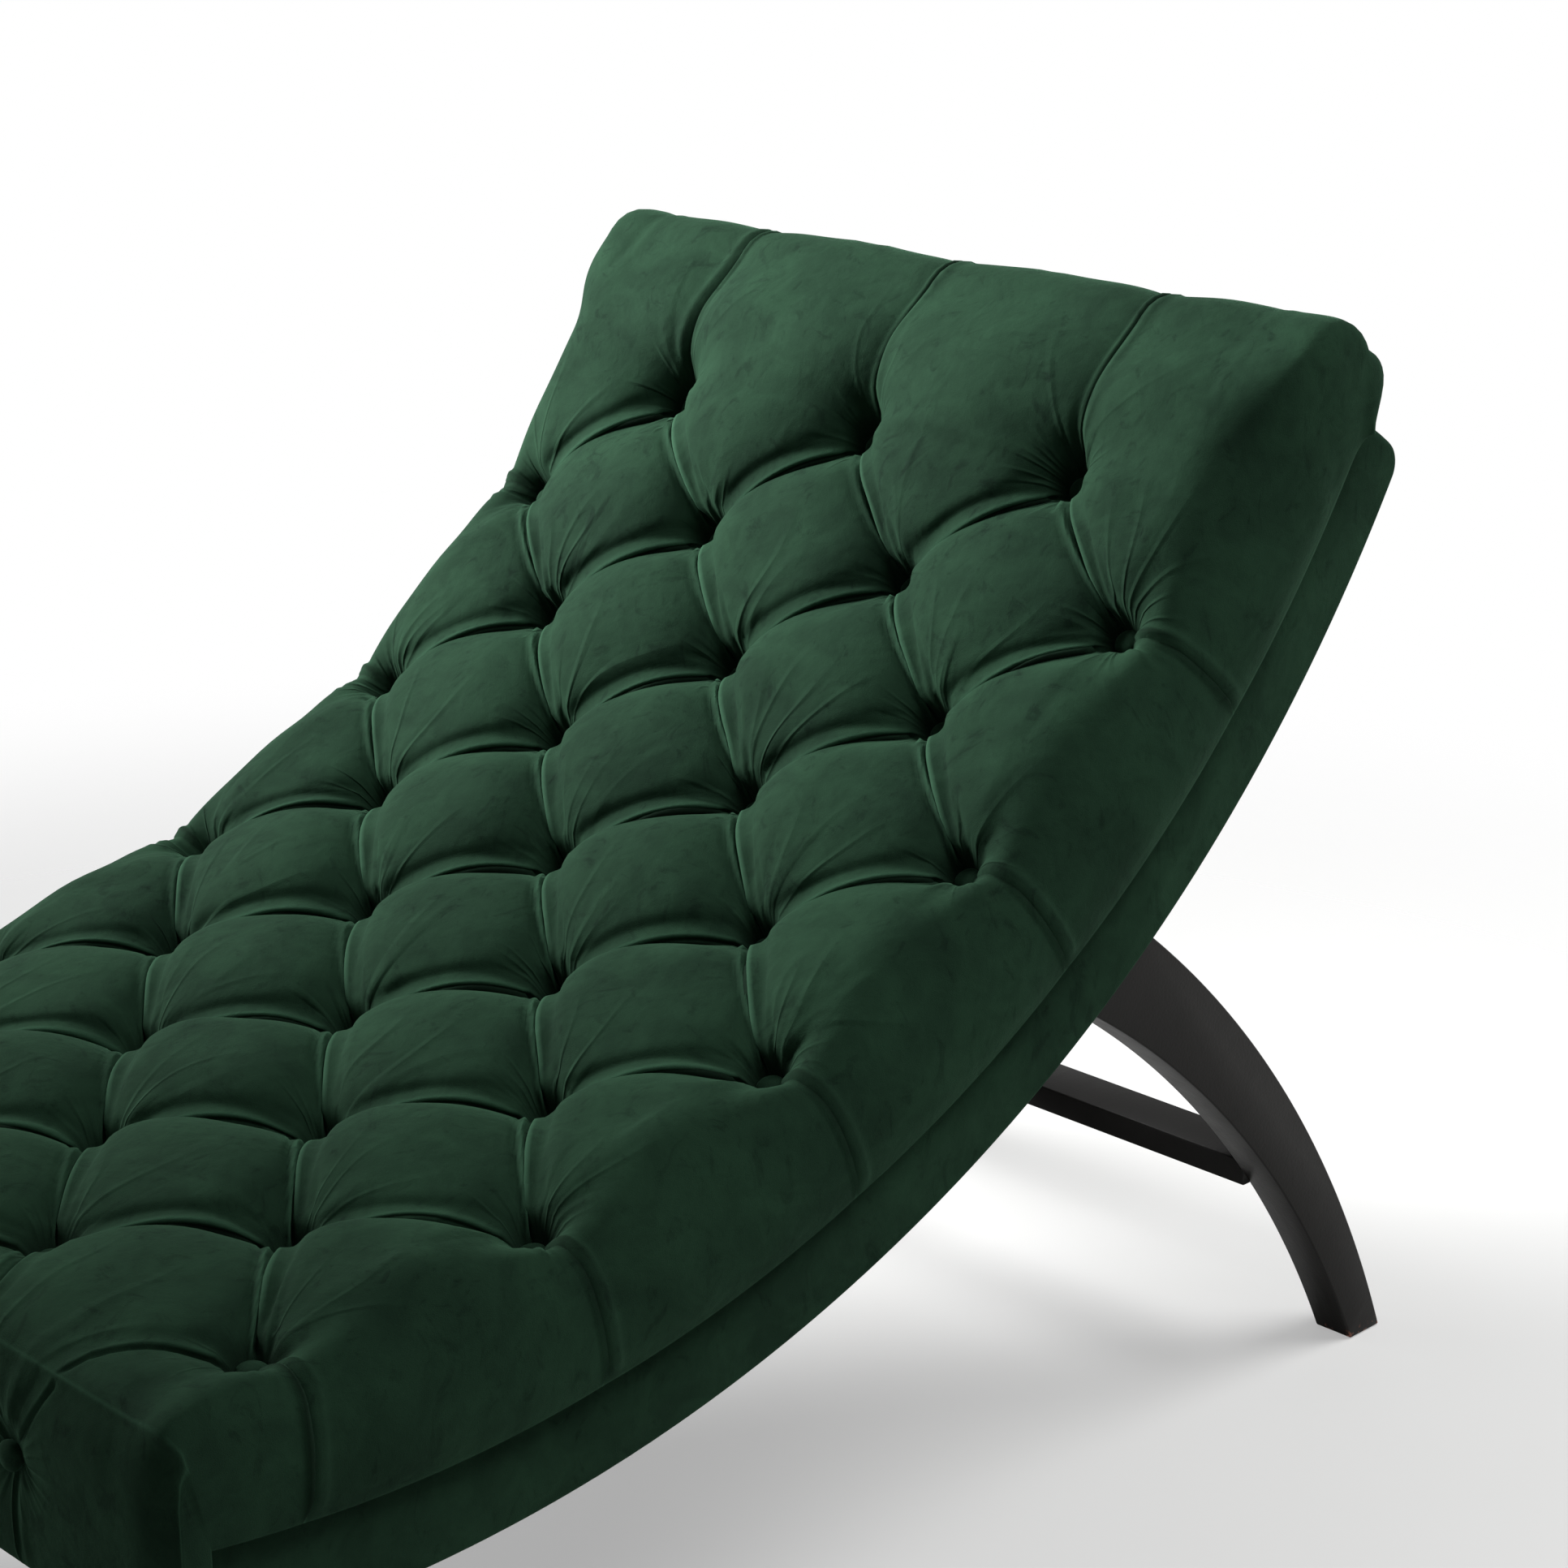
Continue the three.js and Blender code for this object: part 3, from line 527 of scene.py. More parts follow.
def grid(bm, x_from, x_to, x_steps, y_from, y_to, y_steps, warp_x, warp_y):
    """A flat grid, added to a mesh, whose lines are moved by the two warps."""
    made = bmesh.ops.create_grid(bm, x_segments=x_steps, y_segments=y_steps, size=0.5)["verts"]
    flat = np.array([vert.co for vert in made])
    x = warp_x(mix(x_from, x_to, np.round((flat[:, 0] + 0.5) * x_steps) / x_steps))
    y = warp_y(mix(y_from, y_to, np.round((flat[:, 1] + 0.5) * y_steps) / y_steps))
    for vert, place_x, place_y in zip(made, x, y):
        vert.co = (place_x, place_y, 0)
    return made


def even(places):
    return places


def side_pleat_rows(places):
    return 2 * gathered(places) - OUTER


def end_pleat_columns(places):
    return 2 * gathered(places)


def cut(bm, place, normal, clear_outer=False):
    """Cuts a whole mesh along a plane."""
    bmesh.ops.bisect_plane(bm, geom=bm.verts[:] + bm.edges[:] + bm.faces[:], dist=1e-5, plane_co=place,
                           plane_no=normal, clear_outer=clear_outer)


def flat_mattress():
    """Mattress laid flat: rows along X, columns along Y, with edges on every pleat."""
    bm = bmesh.new()
    low, high = -2, 7
    grid(bm, low, high, (high - low) * STEPS, low, high, (high - low) * STEPS, gathered, gathered)
    for vert in bm.verts:
        p, q = vert.co.xy
        vert.co = (p + q, p - q, 0)
    for place, normal in (((0, 0, 0), (-1, 0, 0)), ((LAST, 0, 0), (1, 0, 0)),
                          ((0, OUTER, 0), (0, 1, 0)), ((0, -OUTER, 0), (0, -1, 0))):
        cut(bm, place, normal, clear_outer=True)
    rows = (OUTER / 2, (LAST + OUTER) / 2, LAST // 2 * STEPS, side_pleat_rows)
    columns = (-OUTER / 2, OUTER / 2, OUTER * STEPS, end_pleat_columns)
    head = (-HEAD_RUN / PITCH, 0, END_STEPS, even)
    front = (LAST, LAST + FRONT_RUN / PITCH, END_STEPS, even)
    near, far = (-OUTER - 1, -OUTER, SIDE_STEPS, even), (OUTER, OUTER + 1, SIDE_STEPS, even)
    for ends, sides in ((rows, near), (rows, far), (head, columns), (front, columns),
                        (head, near), (head, far), (front, near), (front, far)):
        grid(bm, *ends[:3], *sides[:3], ends[3], sides[3])
    bmesh.ops.remove_doubles(bm, verts=bm.verts[:], dist=2e-4)
    for past in SEAM_CUTS:
        place = LAST - 1 + (FRONT_SEAM + past - ROWS[LAST - 1]) / (ROWS[LAST] - ROWS[LAST - 1])
        cut(bm, (place, 0, 0), (1, 0, 0))
    return bm


def piece(name, bm, material, slot, *nodes):
    """Object from a mesh, riding on the couch in place of its CAD nodes."""
    mesh = bpy.data.meshes.new(name)
    bm.to_mesh(mesh)
    bm.free()
    made = bpy.data.objects.new(name, mesh)
    bpy.context.scene.collection.objects.link(made)
    mesh.materials.append(material)
    mesh.polygons.foreach_set("use_smooth", np.ones(len(mesh.polygons), dtype=bool))
    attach(made, "root")
    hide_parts(*nodes)
    return made


SEAM_CALM, EDGE_CALM = 7, 14  # mm from the front seam and from the edges in which folds die away


def mattress_mesh():
    """The flat mattress laid over the couch, with its folds raised along its normals."""
    bm = flat_mattress()
    flat = np.array([vert.co for vert in bm.verts])
    row, column = flat[:, 0], flat[:, 1]
    rise, slide_along, slide_across = pleat_details(np.clip(row, 0, LAST), np.clip(column, -OUTER, OUTER))
    in_field = (row >= 0) & (row <= LAST) & (np.abs(column) <= OUTER)
    side_rise, side_along, side_across = straight_pleats(row, column)
    rise = np.where(in_field, rise, side_rise)
    slide_along = np.where(in_field, slide_along, side_along)
    slide_across = np.where(in_field, slide_across, side_across)
    near_front = clamp((row - (LAST - 1.5)) / 1.5)
    calm = mix(1, 0.6, near_front) * ease(np.abs(distance_at(row) - FRONT_SEAM) / SEAM_CALM)
    places = mattress_surface(row, column, slide_along * calm, slide_across * calm)
    for vert, place in zip(bm.verts, places):
        vert.co = place
    bm.normal_update()
    normals = np.array([vert.normal for vert in bm.verts])
    distance = np.clip(distance_at(row), 0, LENGTH)
    free = clamp(distance / EDGE_CALM) * clamp((LENGTH - distance) / EDGE_CALM)
    free = free * clamp((OUTER + 1 - np.abs(column)) / 0.12)
    on_top = ease((OUTER + 0.45 - np.abs(column)) / 0.3)
    loose = button_creases(np.clip(row, -0.9, LAST + 0.9), column) * on_top + unevenness(row, column)
    raised = (rise * calm + loose * calm) * free * MM
    for name, values in fold_marks(row, column, tuft_height(distance, row, column), rise).items():
        layers = bm.verts.layers.float if values.ndim == 1 else bm.verts.layers.float_vector
        layer = layers.new(name)
        for vert, value in zip(bm.verts, values):
            vert[layer] = value
    for vert, place in zip(bm.verts, places + normals * raised[:, None]):
        vert.co = place
    close_underneath(bm, column)
    return bm


def fold_marks(row, column, height, rise):
    """What the velvet reads: painted shade in the hollows and creases, a painted highlight on the lips and
    the front seam, and places from the nearest button and from the button at the foot of the diamond (beside
    and ahead in mm, then a number for that button)."""
    past_seam = distance_at(row) - FRONT_SEAM
    inside = (np.abs(column) < OUTER + 0.15) & (past_seam < -30)
    # Painted shade: darker where the puff lies low near a button and where a crease or a dive sinks
    painted_hollow_shade = np.maximum(clamp(1 - height / 26) * inside, ease((-rise - 2.4) / 2.6))
    side = np.abs(column) - OUTER
    # Painted highlight along the front seam and down the panel's corner, joined to the painted highlight on
    # the lips
    seam = np.where(side < FRONT_CORNER, bump_at(past_seam, -0.5, 1.1), 0)
    seam = np.maximum(seam, np.where(past_seam > 0, bump_at(side, FRONT_CORNER, 0.012), 0))
    # Painted highlight, a sheen on the raised lips of the folds
    lip = np.maximum(ease((rise - 0.8) / 1.8), 0.7 * seam)
    p, q = (row + column) / 2, (row - column) / 2
    marks = {"painted_hollow_shade": painted_hollow_shade, "lip": lip}
    for name, whole in (("from_button", np.round), ("from_foot", np.ceil)):
        at_p, at_q = whole(p), whole(q)
        beside, ahead = (column - (at_p - at_q)) * HALF, ((at_p + at_q) - row) * PITCH
        away = np.hypot(beside, ahead)
        held = (at_p + at_q >= 0) & (at_p + at_q <= LAST) & (np.abs(at_p - at_q) <= OUTER)
        if whole is np.round:
            reach = ease((away - 9) / 12) * (1 - ease((away - 22) / 34))
        else:
            from_pleat = np.minimum(at_p - p, at_q - q) * DIAMOND
            reach = ease((away - 12) / 40) * (1 - ease((away - 60) / 100)) * ease((from_pleat - 5) / 12)
        chance = PLEAT_CHANCES[at_p.astype(int) % 16, at_q.astype(int) % 16, 6 + (whole is np.ceil)]
        marks[name] = np.stack([beside, ahead, 7.3 * at_p + 3.1 * at_q], axis=-1)
        marks[name + "_reach"] = reach * held * mix(0.35, 1, chance)
    return marks


def close_underneath(bm, sheet_column):
    """Closes the mattress: its two lower edges are joined across, then its two ends are filled."""
    flat = dict(zip(bm.verts, sheet_column))
    lower = [edge for edge in bm.edges if edge.is_boundary
             and all(abs(abs(flat[vert]) - OUTER - 1) < 1e-3 for vert in edge.verts)
             and flat[edge.verts[0]] * flat[edge.verts[1]] > 0]
    bmesh.ops.bridge_loops(bm, edges=lower)
    bmesh.ops.holes_fill(bm, edges=[edge for edge in bm.edges if edge.is_boundary], sides=0)
    bmesh.ops.recalc_face_normals(bm, faces=bm.faces[:])


BUTTON_SIZE, BUTTON_RISE = 10.5, 4.5
BUTTON_GATHERS = 9


def button_place(row, at, count):
    """Place and outward direction of a button."""
    x, z, out_x, out_z = on_line(np.array([float(ROWS[row])]))
    return Vector((x[0], (at - (count - 1) / 2) * SPACING, z[0])), Vector((out_x[0], 0, out_z[0]))


def buttons_mesh():
    """Covered buttons: a low dome whose cover is drawn in round the rim."""
    bm = bmesh.new()
    for row in range(LAST + 1):
        count = 3 if row % 2 == 0 else 4
        for at in range(count):
            place, out = button_place(row, at, count)
            made = bmesh.ops.create_uvsphere(bm, u_segments=28, v_segments=16, radius=BUTTON_SIZE)["verts"]
            for vert in made:
                turn = math.atan2(vert.co.y, vert.co.x)
                low = max(0.0, -vert.co.z / BUTTON_SIZE)
                gather = 1 + 0.05 * low * math.sin(BUTTON_GATHERS * turn + row + at)
                vert.co.x *= gather
                vert.co.y *= gather
                vert.co.z = BUTTON_RISE + vert.co.z * (0.5 if vert.co.z > 0 else 0.9)
            turned = out.to_track_quat("Z", "Y").to_matrix().to_4x4()
            placed = Matrix.Scale(MM, 4) @ Matrix.Translation(place) @ turned
            bmesh.ops.transform(bm, matrix=placed, verts=made)
    return bm


# Base (mm)
BASE_WIDTH = 757
BASE_HEAD_ANGLE = math.radians(60.3)
BASE_CORNER = 22
COVER = 4
CLOTH = 2.4  # thickness of the cloth itself
LIP = 24  # turned under the rails
BASE_EDGE = 5
ARC_STEPS, CORNER_STEPS = 150, 12
HEAD_TURN_UNDER = 44  # turned under at the head, over the end of the dust cover
BASE_FRONT = APRON_BACK - FIT


def arc(radius, start, end, steps):
    return [Vector(on_arc(radius, mix(start, end, step / steps))) for step in range(steps + 1)]


def side_board(points, width, middle=0.0):
    """A side outline made a board across the couch."""
    bm = bmesh.new()
    corners = [bm.verts.new((point.x * MM, (middle - width / 2) * MM, point.y * MM)) for point in points]
    face = bm.faces.new(corners)
    grown = bmesh.ops.extrude_face_region(bm, geom=[face])["geom"]
    moved = [made for made in grown if isinstance(made, bmesh.types.BMVert)]
    bmesh.ops.translate(bm, vec=(0, width * MM, 0), verts=moved)
    bmesh.ops.recalc_face_normals(bm, faces=bm.faces[:])
    return bm


def rounded(bm, edges, radius, segments=3):
    """Rounds edges of a mesh (radius in mm)."""
    bmesh.ops.bevel(bm, geom=edges, offset=radius * MM, affect="EDGES", segments=segments, profile=0.5,
                    material=-1)


def base_mesh():
    """Velvet band: an open tray of cloth round the rails, turned under them in a lip."""
    round_angle = BASE_HEAD_ANGLE - math.asin(BASE_CORNER / (BAND_RADIUS - BASE_CORNER))
    centre = Vector(on_arc(BAND_RADIUS - BASE_CORNER, round_angle))
    turn = [mix(round_angle - math.pi / 2, BASE_HEAD_ANGLE, (step + 1) / CORNER_STEPS)
            for step in range(CORNER_STEPS)]
    corner = [centre + BASE_CORNER * Vector((math.cos(angle), math.sin(angle))) for angle in turn]
    underside = arc(BAND_RADIUS, front_angle(BAND_RADIUS, BASE_FRONT), round_angle, ARC_STEPS)
    upper_edge = arc(SEAM_RADIUS, BASE_HEAD_ANGLE, front_angle(SEAM_RADIUS, BASE_FRONT), ARC_STEPS)
    bm = side_board([*underside, *corner, *upper_edge], BASE_WIDTH)
    arc_centre = Vector((ARC_X, ARC_Z)) * MM
    long_edges = [edge for edge in bm.edges if edge.calc_face_angle(0) > 0.7
                  and abs(edge.verts[0].co.y - edge.verts[1].co.y) < MM
                  and all((vert.co.xz - arc_centre).length > (SEAM_RADIUS + 8) * MM for vert in edge.verts)]
    rounded(bm, long_edges, BASE_EDGE, 4)
    for side in (-1, 1):
        cut(bm, (0, side * (BASE_WIDTH / 2 - LIP) * MM, 0), (0, side, 0))
    lip_angle = BASE_HEAD_ANGLE - HEAD_TURN_UNDER / BAND_RADIUS
    unwanted = []
    for face in bm.faces:
        middle = face.calc_center_median()
        reach = middle.xz - arc_centre
        angle = math.atan2(reach.x, -reach.y)
        across = abs(middle.y) < (BASE_WIDTH / 2 - LIP) * MM
        at_seam = abs(reach.length - SEAM_RADIUS * MM) < 2 * MM and abs(face.normal.y) < 0.1
        on_top = at_seam and angle < BASE_HEAD_ANGLE - 0.001
        at_front = face.normal.x < -0.95
        underneath = across and reach.length > (BAND_RADIUS - 2) * MM and angle < lip_angle
        if on_top or at_front or underneath:
            unwanted.append(face)
    bmesh.ops.delete(bm, geom=unwanted, context="FACES")
    bmesh.ops.solidify(bm, geom=bm.faces[:], thickness=CLOTH * MM)
    bmesh.ops.recalc_face_normals(bm, faces=bm.faces[:])
    return bm


# Legs and stretcher (mm)
DECK_THICKNESS = 9
RAIL_TOP = SEAM_RADIUS + DECK_THICKNESS + FIT
RAIL_THICKNESS = 21
LEG_THICKNESS = 37
LEG_FOOT = 40
LEG_EDGE, STRETCHER_EDGE = 1.6, 1.8
LEG_STEPS = 48
OUTER_RADIUS, OUTER_DROP = 1080, 400  # a sabre leg lies between two arcs whose centres are below the floor
INNER_RADIUS, INNER_DROP = 981, 431
STRETCHER_DEPTH, STRETCHER_THICKNESS = 51, 22
STRETCHER_TOP = 189  # above the floor
STRETCHER_INSET = 4  # in from the outer edge of the legs
LEG_MIDDLE = BASE_WIDTH / 2 - COVER - FIT - RAIL_THICKNESS - FIT - LEG_THICKNESS / 2
TOE = (FRONT_REACH + REAR_REACH) / 2
outer_centre = TOE - math.sqrt(OUTER_RADIUS**2 - OUTER_DROP**2)
inner_centre = TOE - LEG_FOOT - math.sqrt(INNER_RADIUS**2 - INNER_DROP**2)


def circles_meet(a, radius_a, b, radius_b, sign):
    """One of the two points in which two circles meet."""
    between = b - a
    span = between.length
    toward = (radius_a**2 - radius_b**2 + span**2) / (2 * span)
    off = math.sqrt(radius_a**2 - toward**2) * sign
    between.normalize()
    return a + Vector((between.x * toward - between.y * off, between.y * toward + between.x * off))


def leg_outline(end):
    """Side outline of a leg: end is 1 for the rear and -1 for the front."""
    def edge(centre_x, drop, radius):
        centre = Vector((end * centre_x, -drop))
        top = circles_meet(centre, radius, Vector(on_arc(0, 0)), RAIL_TOP + 1, -end)
        first = math.asin(drop / radius)
        last = math.atan2(top.y - centre.y, end * (top.x - centre.x))
        angles = [mix(first, last, step / LEG_STEPS) for step in range(LEG_STEPS + 1)]
        return [centre + radius * Vector((end * math.cos(angle), math.sin(angle))) for angle in angles]

    inner = edge(inner_centre, INNER_DROP, INNER_RADIUS)
    return [*edge(outer_centre, OUTER_DROP, OUTER_RADIUS), *reversed(inner)]


def leg_mesh(end, side):
    bm = side_board(leg_outline(end), LEG_THICKNESS, side * LEG_MIDDLE)
    sharp = [edge for edge in bm.edges if edge.calc_face_angle(0) > 0.6]
    rounded(bm, sharp, LEG_EDGE)
    lift = -min(vert.co.z for vert in bm.verts)
    bmesh.ops.translate(bm, vec=(0, 0, lift), verts=bm.verts[:])
    return bm


def stretcher_mesh():
    """Flat board between the rear legs, a little in from their outer edge."""
    convex = outer_centre + math.sqrt(OUTER_RADIUS**2 - (OUTER_DROP + STRETCHER_TOP) ** 2)
    outer, upper = convex - STRETCHER_INSET, STRETCHER_TOP
    inner, lower = outer - STRETCHER_DEPTH, upper - STRETCHER_THICKNESS
    corners = [Vector(corner) for corner in ((inner, lower), (outer, lower), (outer, upper), (inner, upper))]
    bm = side_board(corners, 2 * (LEG_MIDDLE - LEG_THICKNESS / 2 - FIT))
    long_edges = [edge for edge in bm.edges if abs(edge.verts[0].co.y - edge.verts[1].co.y) > MM]
    rounded(bm, long_edges, STRETCHER_EDGE)
    return bm


# Finishes
class Value:
    """A number that changes over a surface, with arithmetic."""

    def __init__(self, nodes, socket):
        self.nodes, self.socket = nodes, socket

    def _with(self, operation, first, second):
        made = self.nodes.node("ShaderNodeMath", {"operation": operation}, {0: first, 1: second})
        return Value(self.nodes, made.outputs[0])

    def __add__(self, other):
        return self._with("ADD", self, other)

    def __sub__(self, other):
        return self._with("SUBTRACT", self, other)

    def __rsub__(self, other):
        return self._with("SUBTRACT", other, self)

    def __mul__(self, other):
        return self._with("MULTIPLY", self, other)

    def __truediv__(self, other):
        return self._with("DIVIDE", self, other)

    def __pow__(self, exponent):
        return self._with("POWER", self, exponent)

    def above(self, level, softness):
        """0 below a level, 1 above it, with a soft edge."""
        made = self.nodes.node("ShaderNodeMapRange", {"interpolation_type": "SMOOTHSTEP"},
                               {"Value": self, "From Min": level - softness, "From Max": level + softness})
        return Value(self.nodes, made.outputs[0])


def linear(red, green, blue):
    """Scene colour of an 8-bit screen colour."""
    parts = [part / 255 for part in (red, green, blue)]
    return (*[part / 12.92 if part <= 0.04045 else ((part + 0.055) / 1.055) ** 2.4 for part in parts], 1)


class Nodes:
    """The nodes of a material or of the surroundings."""

    def __init__(self, tree):
        self.tree = tree

    def join(self, value, slot):
        """Puts a value, a socket or a constant into a socket."""
        if isinstance(value, Value):
            value = value.socket
        if isinstance(value, bpy.types.NodeSocket):
            self.tree.links.new(value, slot)
        else:
            slot.default_value = value

    def node(self, kind, settings=None, values=None):
        made = self.tree.nodes.new(kind)
        for name, value in (settings or {}).items():
            setattr(made, name, value)
        for name, value in (values or {}).items():
            self.join(value, made.inputs[name])
        return made

    def ray(self, kind):
        return Value(self, self.node("ShaderNodeLightPath").outputs[kind])


class Finish(Nodes):
    """A material."""

    def __init__(self, name, roughness=0.5, constants=None):
        self.material = bpy.data.materials.new(name)
        self.material.use_nodes = True
        super().__init__(self.material.node_tree)
        self.shader = self.tree.nodes["Principled BSDF"]
        for socket, value in {"Roughness": roughness, **(constants or {})}.items():
            self.shader.inputs[socket].default_value = value
        self.place = self.node("ShaderNodeTexCoord").outputs["Object"]

    def mark(self, name, output="Fac"):
        return self.node("ShaderNodeAttribute", {"attribute_name": name}).outputs[output]

    def parts(self, vector):
        made = self.node("ShaderNodeSeparateXYZ", values={"Vector": vector})
        return [Value(self, part) for part in made.outputs]

    def noise(self, scale, detail=3.0, roughness=0.5, distortion=0.0, stretch=(1, 1, 1), place=None):
        place = place or self.place
        if stretch != (1, 1, 1):
            place = self.node("ShaderNodeMapping", values={"Vector": place, "Scale": stretch}).outputs[0]
        made = self.node("ShaderNodeTexNoise", values={
            "Vector": place, "Scale": scale, "Detail": detail, "Roughness": roughness,
            "Distortion": distortion})
        return Value(self, made.outputs["Factor"] if "Factor" in made.outputs else made.outputs["Fac"])

    def blend(self, share, low, high):
        """Colour between two colours, by a share."""
        return self.node("ShaderNodeMix", {"data_type": "RGBA"}, {0: share, 6: low, 7: high}).outputs[2]

    def colour(self, socket):
        self.join(socket, self.shader.inputs["Base Color"])

    def rough(self, value):
        self.join(value, self.shader.inputs["Roughness"])

    def relief(self, value, depth):
        bump = self.node("ShaderNodeBump", values={"Strength": 1.0, "Distance": depth, "Height": value})
        self.join(bump.outputs[0], self.shader.inputs["Normal"])


def creases(made, mark, turns, level, softness):
    """Soft folds that run out from a button: 0 to 1, wider the farther they go."""
    beside, ahead, seed = made.parts(made.mark(mark, "Vector"))
    away = (beside * beside + ahead * ahead + 1) ** 0.5
    ring = made.node("ShaderNodeCombineXYZ", values={
        "X": beside / away * turns, "Y": ahead / away * turns, "Z": seed + away * 0.005}).outputs[0]
    wave = made.noise(1, 0.6, 0.5, 0.0, place=ring) - 0.5
    ridge = 1 - ((wave * wave) ** 0.5).above(level, softness)
    return ridge * Value(made, made.mark(mark + "_reach"))


def velvet_finish():
    made = Finish("velvet", 0.85, {"Specular IOR Level": 0.03, "Sheen Weight": 0.12, "Sheen Roughness": 0.3,
                                   "Sheen Tint": linear(140, 205, 165)})
    broad = made.noise(8, 3, 0.55, 0.6)
    patches = made.noise(24, 4, 0.6, 1.4)
    smudges = made.noise(34, 5, 0.62, 2.2, (1, 1, 0.55)).above(0.62, 0.07)
    pile = made.noise(1300, 2, 0.6)
    light = broad.above(0.5, 0.25) * 0.42 + patches.above(0.5, 0.22) * 0.3 + pile * 0.4 - smudges * 0.3
    green = made.blend(light, linear(20, 36, 27), linear(39, 65, 48))
    painted_hollow_shade, lip = Value(made, made.mark("painted_hollow_shade")), Value(made, made.mark("lip"))
    # Painted shade, near black, in the hollows round the buttons and in the creases
    green = made.blend(painted_hollow_shade * 0.75, green, linear(8, 16, 11))
    # Painted highlight: a lighter sheen on the lips of the folds and along the front seam
    made.colour(made.blend(lip * 0.5, green, linear(62, 98, 76)))
    short = creases(made, "from_button", 2.2, 0.04, 0.05)
    long = creases(made, "from_foot", 2.2, 0.025, 0.04)
    fine = pile * 0.0003 + made.noise(120, 3, 0.5) * 0.0005 + made.noise(34, 2, 0.5, 0.5) * 0.0011
    made.relief(fine + short * 0.0016 + long * 0.0012, 1.0)
    return made.material


def lacquer_finish():
    made = Finish("black_brown_lacquer", 0.45, {"Specular IOR Level": 0.12})
    grain = made.noise(60, 4, 0.6, 0.8, (0.25, 1, 0.25))
    base = made.blend(grain, linear(19, 18, 17), linear(27, 26, 24))
    near_floor = 1 - made.parts(made.place)[2].above(0.006, 0.005)
    chips = made.noise(150, 2, 0.5).above(0.6, 0.03) * near_floor
    made.colour(made.blend(chips, base, linear(134, 84, 66)))
    made.rough(made.noise(40, 3) * 0.14 + 0.33)
    made.relief(grain * 0.6 + made.noise(400, 2) * 0.25, 0.0004)
    return made.material


def timber_finish(name, low, high, stretch):
    made = Finish(name, 0.62)
    grain = made.noise(55, 6, 0.65, 1.6, stretch)
    made.colour(made.blend(grain.above(0.5, 0.25), low, high))
    made.relief(grain, 0.0006)
    return made.material


def foam_finish():
    made = Finish("foam", 0.95)
    cells = made.noise(700, 3, 0.7)
    made.colour(made.blend(cells, linear(214, 203, 168), linear(240, 232, 205)))
    made.relief(cells, 0.0008)
    return made.material


def dust_cloth_finish():
    made = Finish("dust_cloth", 0.92)
    fibres = made.noise(900, 3, 0.7)
    folds = made.noise(14, 3, 0.5, 0.8)
    made.colour(made.blend(fibres, linear(20, 20, 21), linear(42, 42, 43)))
    made.relief(fibres * 0.3 + folds * 1.6, 0.0016)
    return made.material


def zinc_finish():
    made = Finish("zinc_plated_steel", 0.4, {"Metallic": 1.0})
    scratches = made.noise(240, 3, 0.6, 0, (1, 0.2, 1))
    made.colour(made.blend(scratches, linear(140, 142, 146), linear(176, 178, 182)))
    made.rough(scratches * 0.2 + 0.3)
    return made.material


velvet = velvet_finish()
lacquer = lacquer_finish()
rail_timber = timber_finish("rail_timber", linear(176, 142, 98), linear(212, 182, 138), (0.2, 1, 1))
deck_ply = timber_finish("deck_ply", linear(160, 124, 78), linear(200, 164, 112), (0.3, 1, 0.3))
foam = foam_finish()
dust_cloth = dust_cloth_finish()
zinc = zinc_finish()

# Pieces that replace the faceted solids
mattress = piece("mattress", mattress_mesh(), velvet, "velvet", "mattress_cover")
button_nodes = [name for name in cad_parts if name.startswith("button_")]
piece("covered_buttons", buttons_mesh(), velvet, "velvet", *button_nodes)
piece("base_band", base_mesh(), velvet, "velvet", "base_cover")
for end, where in ((1, "rear"), (-1, "front")):
    for side, hand in ((-1, "left"), (1, "right")):
        name = f"{where}_leg_{hand}"
        piece(f"{name}_turned", leg_mesh(end, side), lacquer, "lacquered_wood", name)
piece("stretcher_board", stretcher_mesh(), lacquer, "lacquered_wood", "rear_stretcher")

# Finishes of the pieces inside, which keep their solids
KEPT = {"foam_core": foam, "seat_deck": deck_ply, "dust_cover": dust_cloth}
for name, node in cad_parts.items():
    if "rail" in name:
        KEPT[name] = rail_timber
    elif name.endswith("_bolt"):
        KEPT[name] = zinc
for name, material in KEPT.items():
    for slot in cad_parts[name].material_slots:
        slot.material = material

# Camera of the photograph
camera = bpy.data.objects.new("camera", bpy.data.cameras.new("camera"))
camera.data.lens = 78.5
camera.data.sensor_width = 36
camera.data.clip_end = 60
bpy.context.scene.collection.objects.link(camera)
yaw, pitch = math.radians(45.526), math.radians(17.930)
looking = Vector((math.cos(yaw) * math.cos(pitch), math.sin(yaw) * math.cos(pitch), -math.sin(pitch)))
camera.location = (-1.5928, -1.8975, 1.3541)
camera.rotation_euler = looking.to_track_quat("-Z", "Y").to_euler()
bpy.context.scene.camera = camera


def soft_light(name, place, aim, size, power, spread=180):
    light = bpy.data.lights.new(name, "AREA")
    light.shape, light.size, light.energy, light.spread = "DISK", size, power, math.radians(spread)
    made = bpy.data.objects.new(name, light)
    made.location = place
    made.rotation_euler = (Vector(aim) - Vector(place)).to_track_quat("-Z", "Y").to_euler()
    bpy.context.scene.collection.objects.link(made)


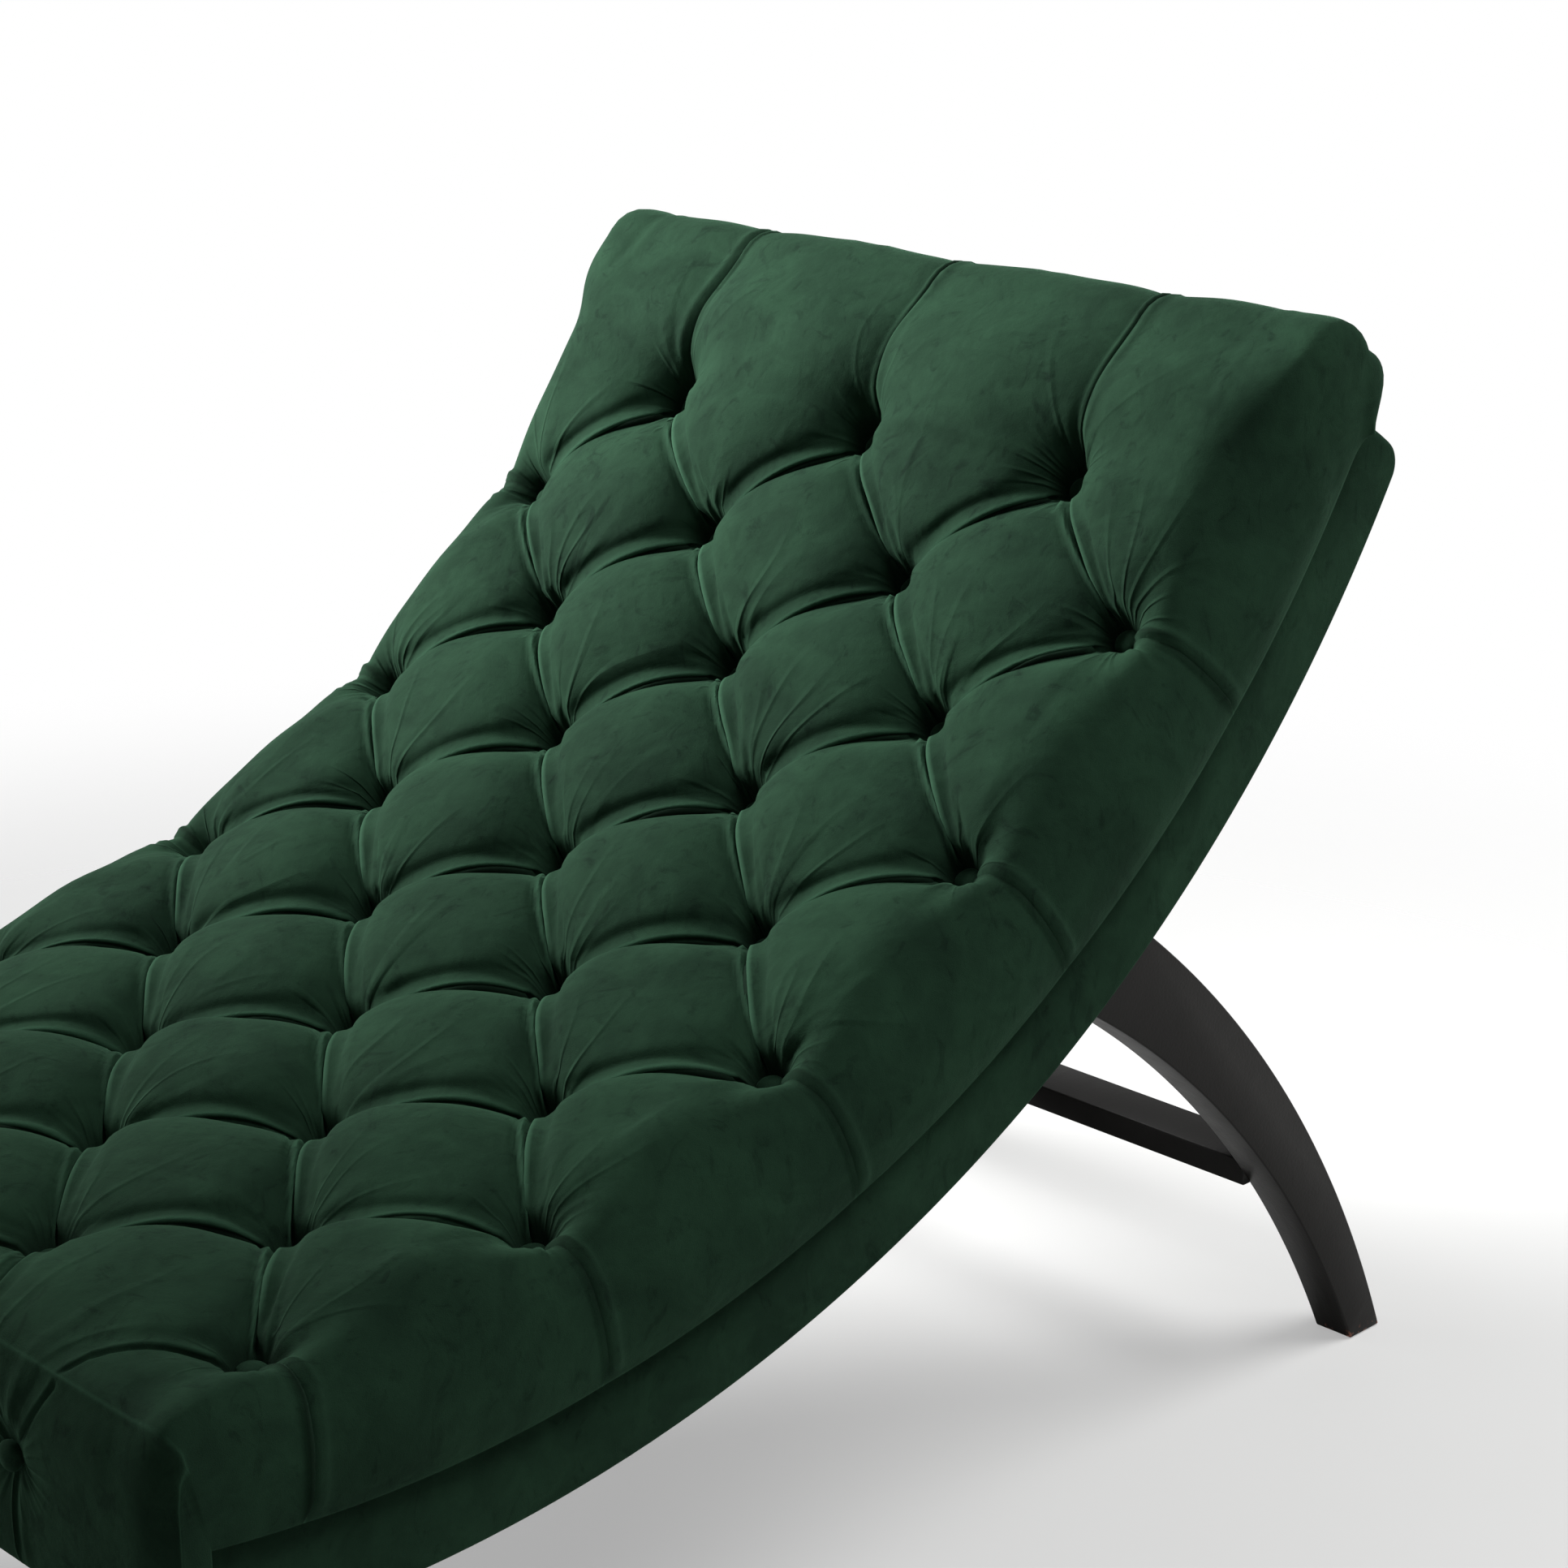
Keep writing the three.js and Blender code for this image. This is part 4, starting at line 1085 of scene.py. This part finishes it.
soft_light("softbox", place=(-1.0, 2.35, 1.9), aim=(0.9, 0, 1.0), size=1.0, power=46, spread=70)
soft_light("floor_light", place=(1.4, -1.7, 3.8), aim=(1.2, -1.4, 0), size=2.4, power=42, spread=100)
soft_light("fill", place=(0.7, -3.2, 0.9), aim=(0.1, 0, 0.4), size=1.4, power=8)

# White surroundings for the camera, for gloss and for glass, plain grey light for everything else
GREY_LIGHT = 0.075
world = bpy.data.worlds.new("studio")
bpy.context.scene.world = world
world.use_nodes = True
studio = Nodes(world.node_tree)
shown = studio.ray("Is Camera Ray") + studio.ray("Is Glossy Ray") + studio.ray("Is Transmission Ray")
backdrop = studio.tree.nodes["Background"]
backdrop.inputs["Color"].default_value = (1, 1, 1, 1)
studio.join(shown.above(0.5, 0.4) * (1 - GREY_LIGHT) + GREY_LIGHT, backdrop.inputs["Strength"])

# Pale floor that fades into the white surroundings
FLOOR_RADIUS = 5
FLOOR_DROP = 0.0006  # just under the feet
FADE_AT, FADE_OVER = 1.5, 0.8
LEAST_FADE = 0.38
floor_bm = bmesh.new()
bmesh.ops.create_circle(floor_bm, cap_ends=True, radius=FLOOR_RADIUS, segments=96)
floor_mesh = bpy.data.meshes.new("floor")
floor_bm.to_mesh(floor_mesh)
floor_bm.free()
floor = bpy.data.objects.new("floor", floor_mesh)
floor.location.z = -FLOOR_DROP
bpy.context.scene.collection.objects.link(floor)
pale = Finish("pale_floor", 0.6, {"Specular IOR Level": 0.2})
pale.colour(pale.blend(pale.noise(3, 3), linear(228, 228, 226), linear(236, 236, 235)))
away = pale.node("ShaderNodeVectorMath", {"operation": "LENGTH"}, {0: pale.place})
fade = Value(pale, away.outputs["Value"]).above(FADE_AT, FADE_OVER)
fade = (fade + (1 - fade) * LEAST_FADE) * pale.ray("Is Camera Ray")
clear = pale.node("ShaderNodeBsdfTransparent")
mixed = pale.node("ShaderNodeMixShader", values={0: fade, 1: pale.shader.outputs[0], 2: clear.outputs[0]})
pale.join(mixed.outputs[0], pale.tree.nodes["Material Output"].inputs["Surface"])
floor_mesh.materials.append(pale.material)

bpy.context.scene.view_settings.view_transform = "Standard"
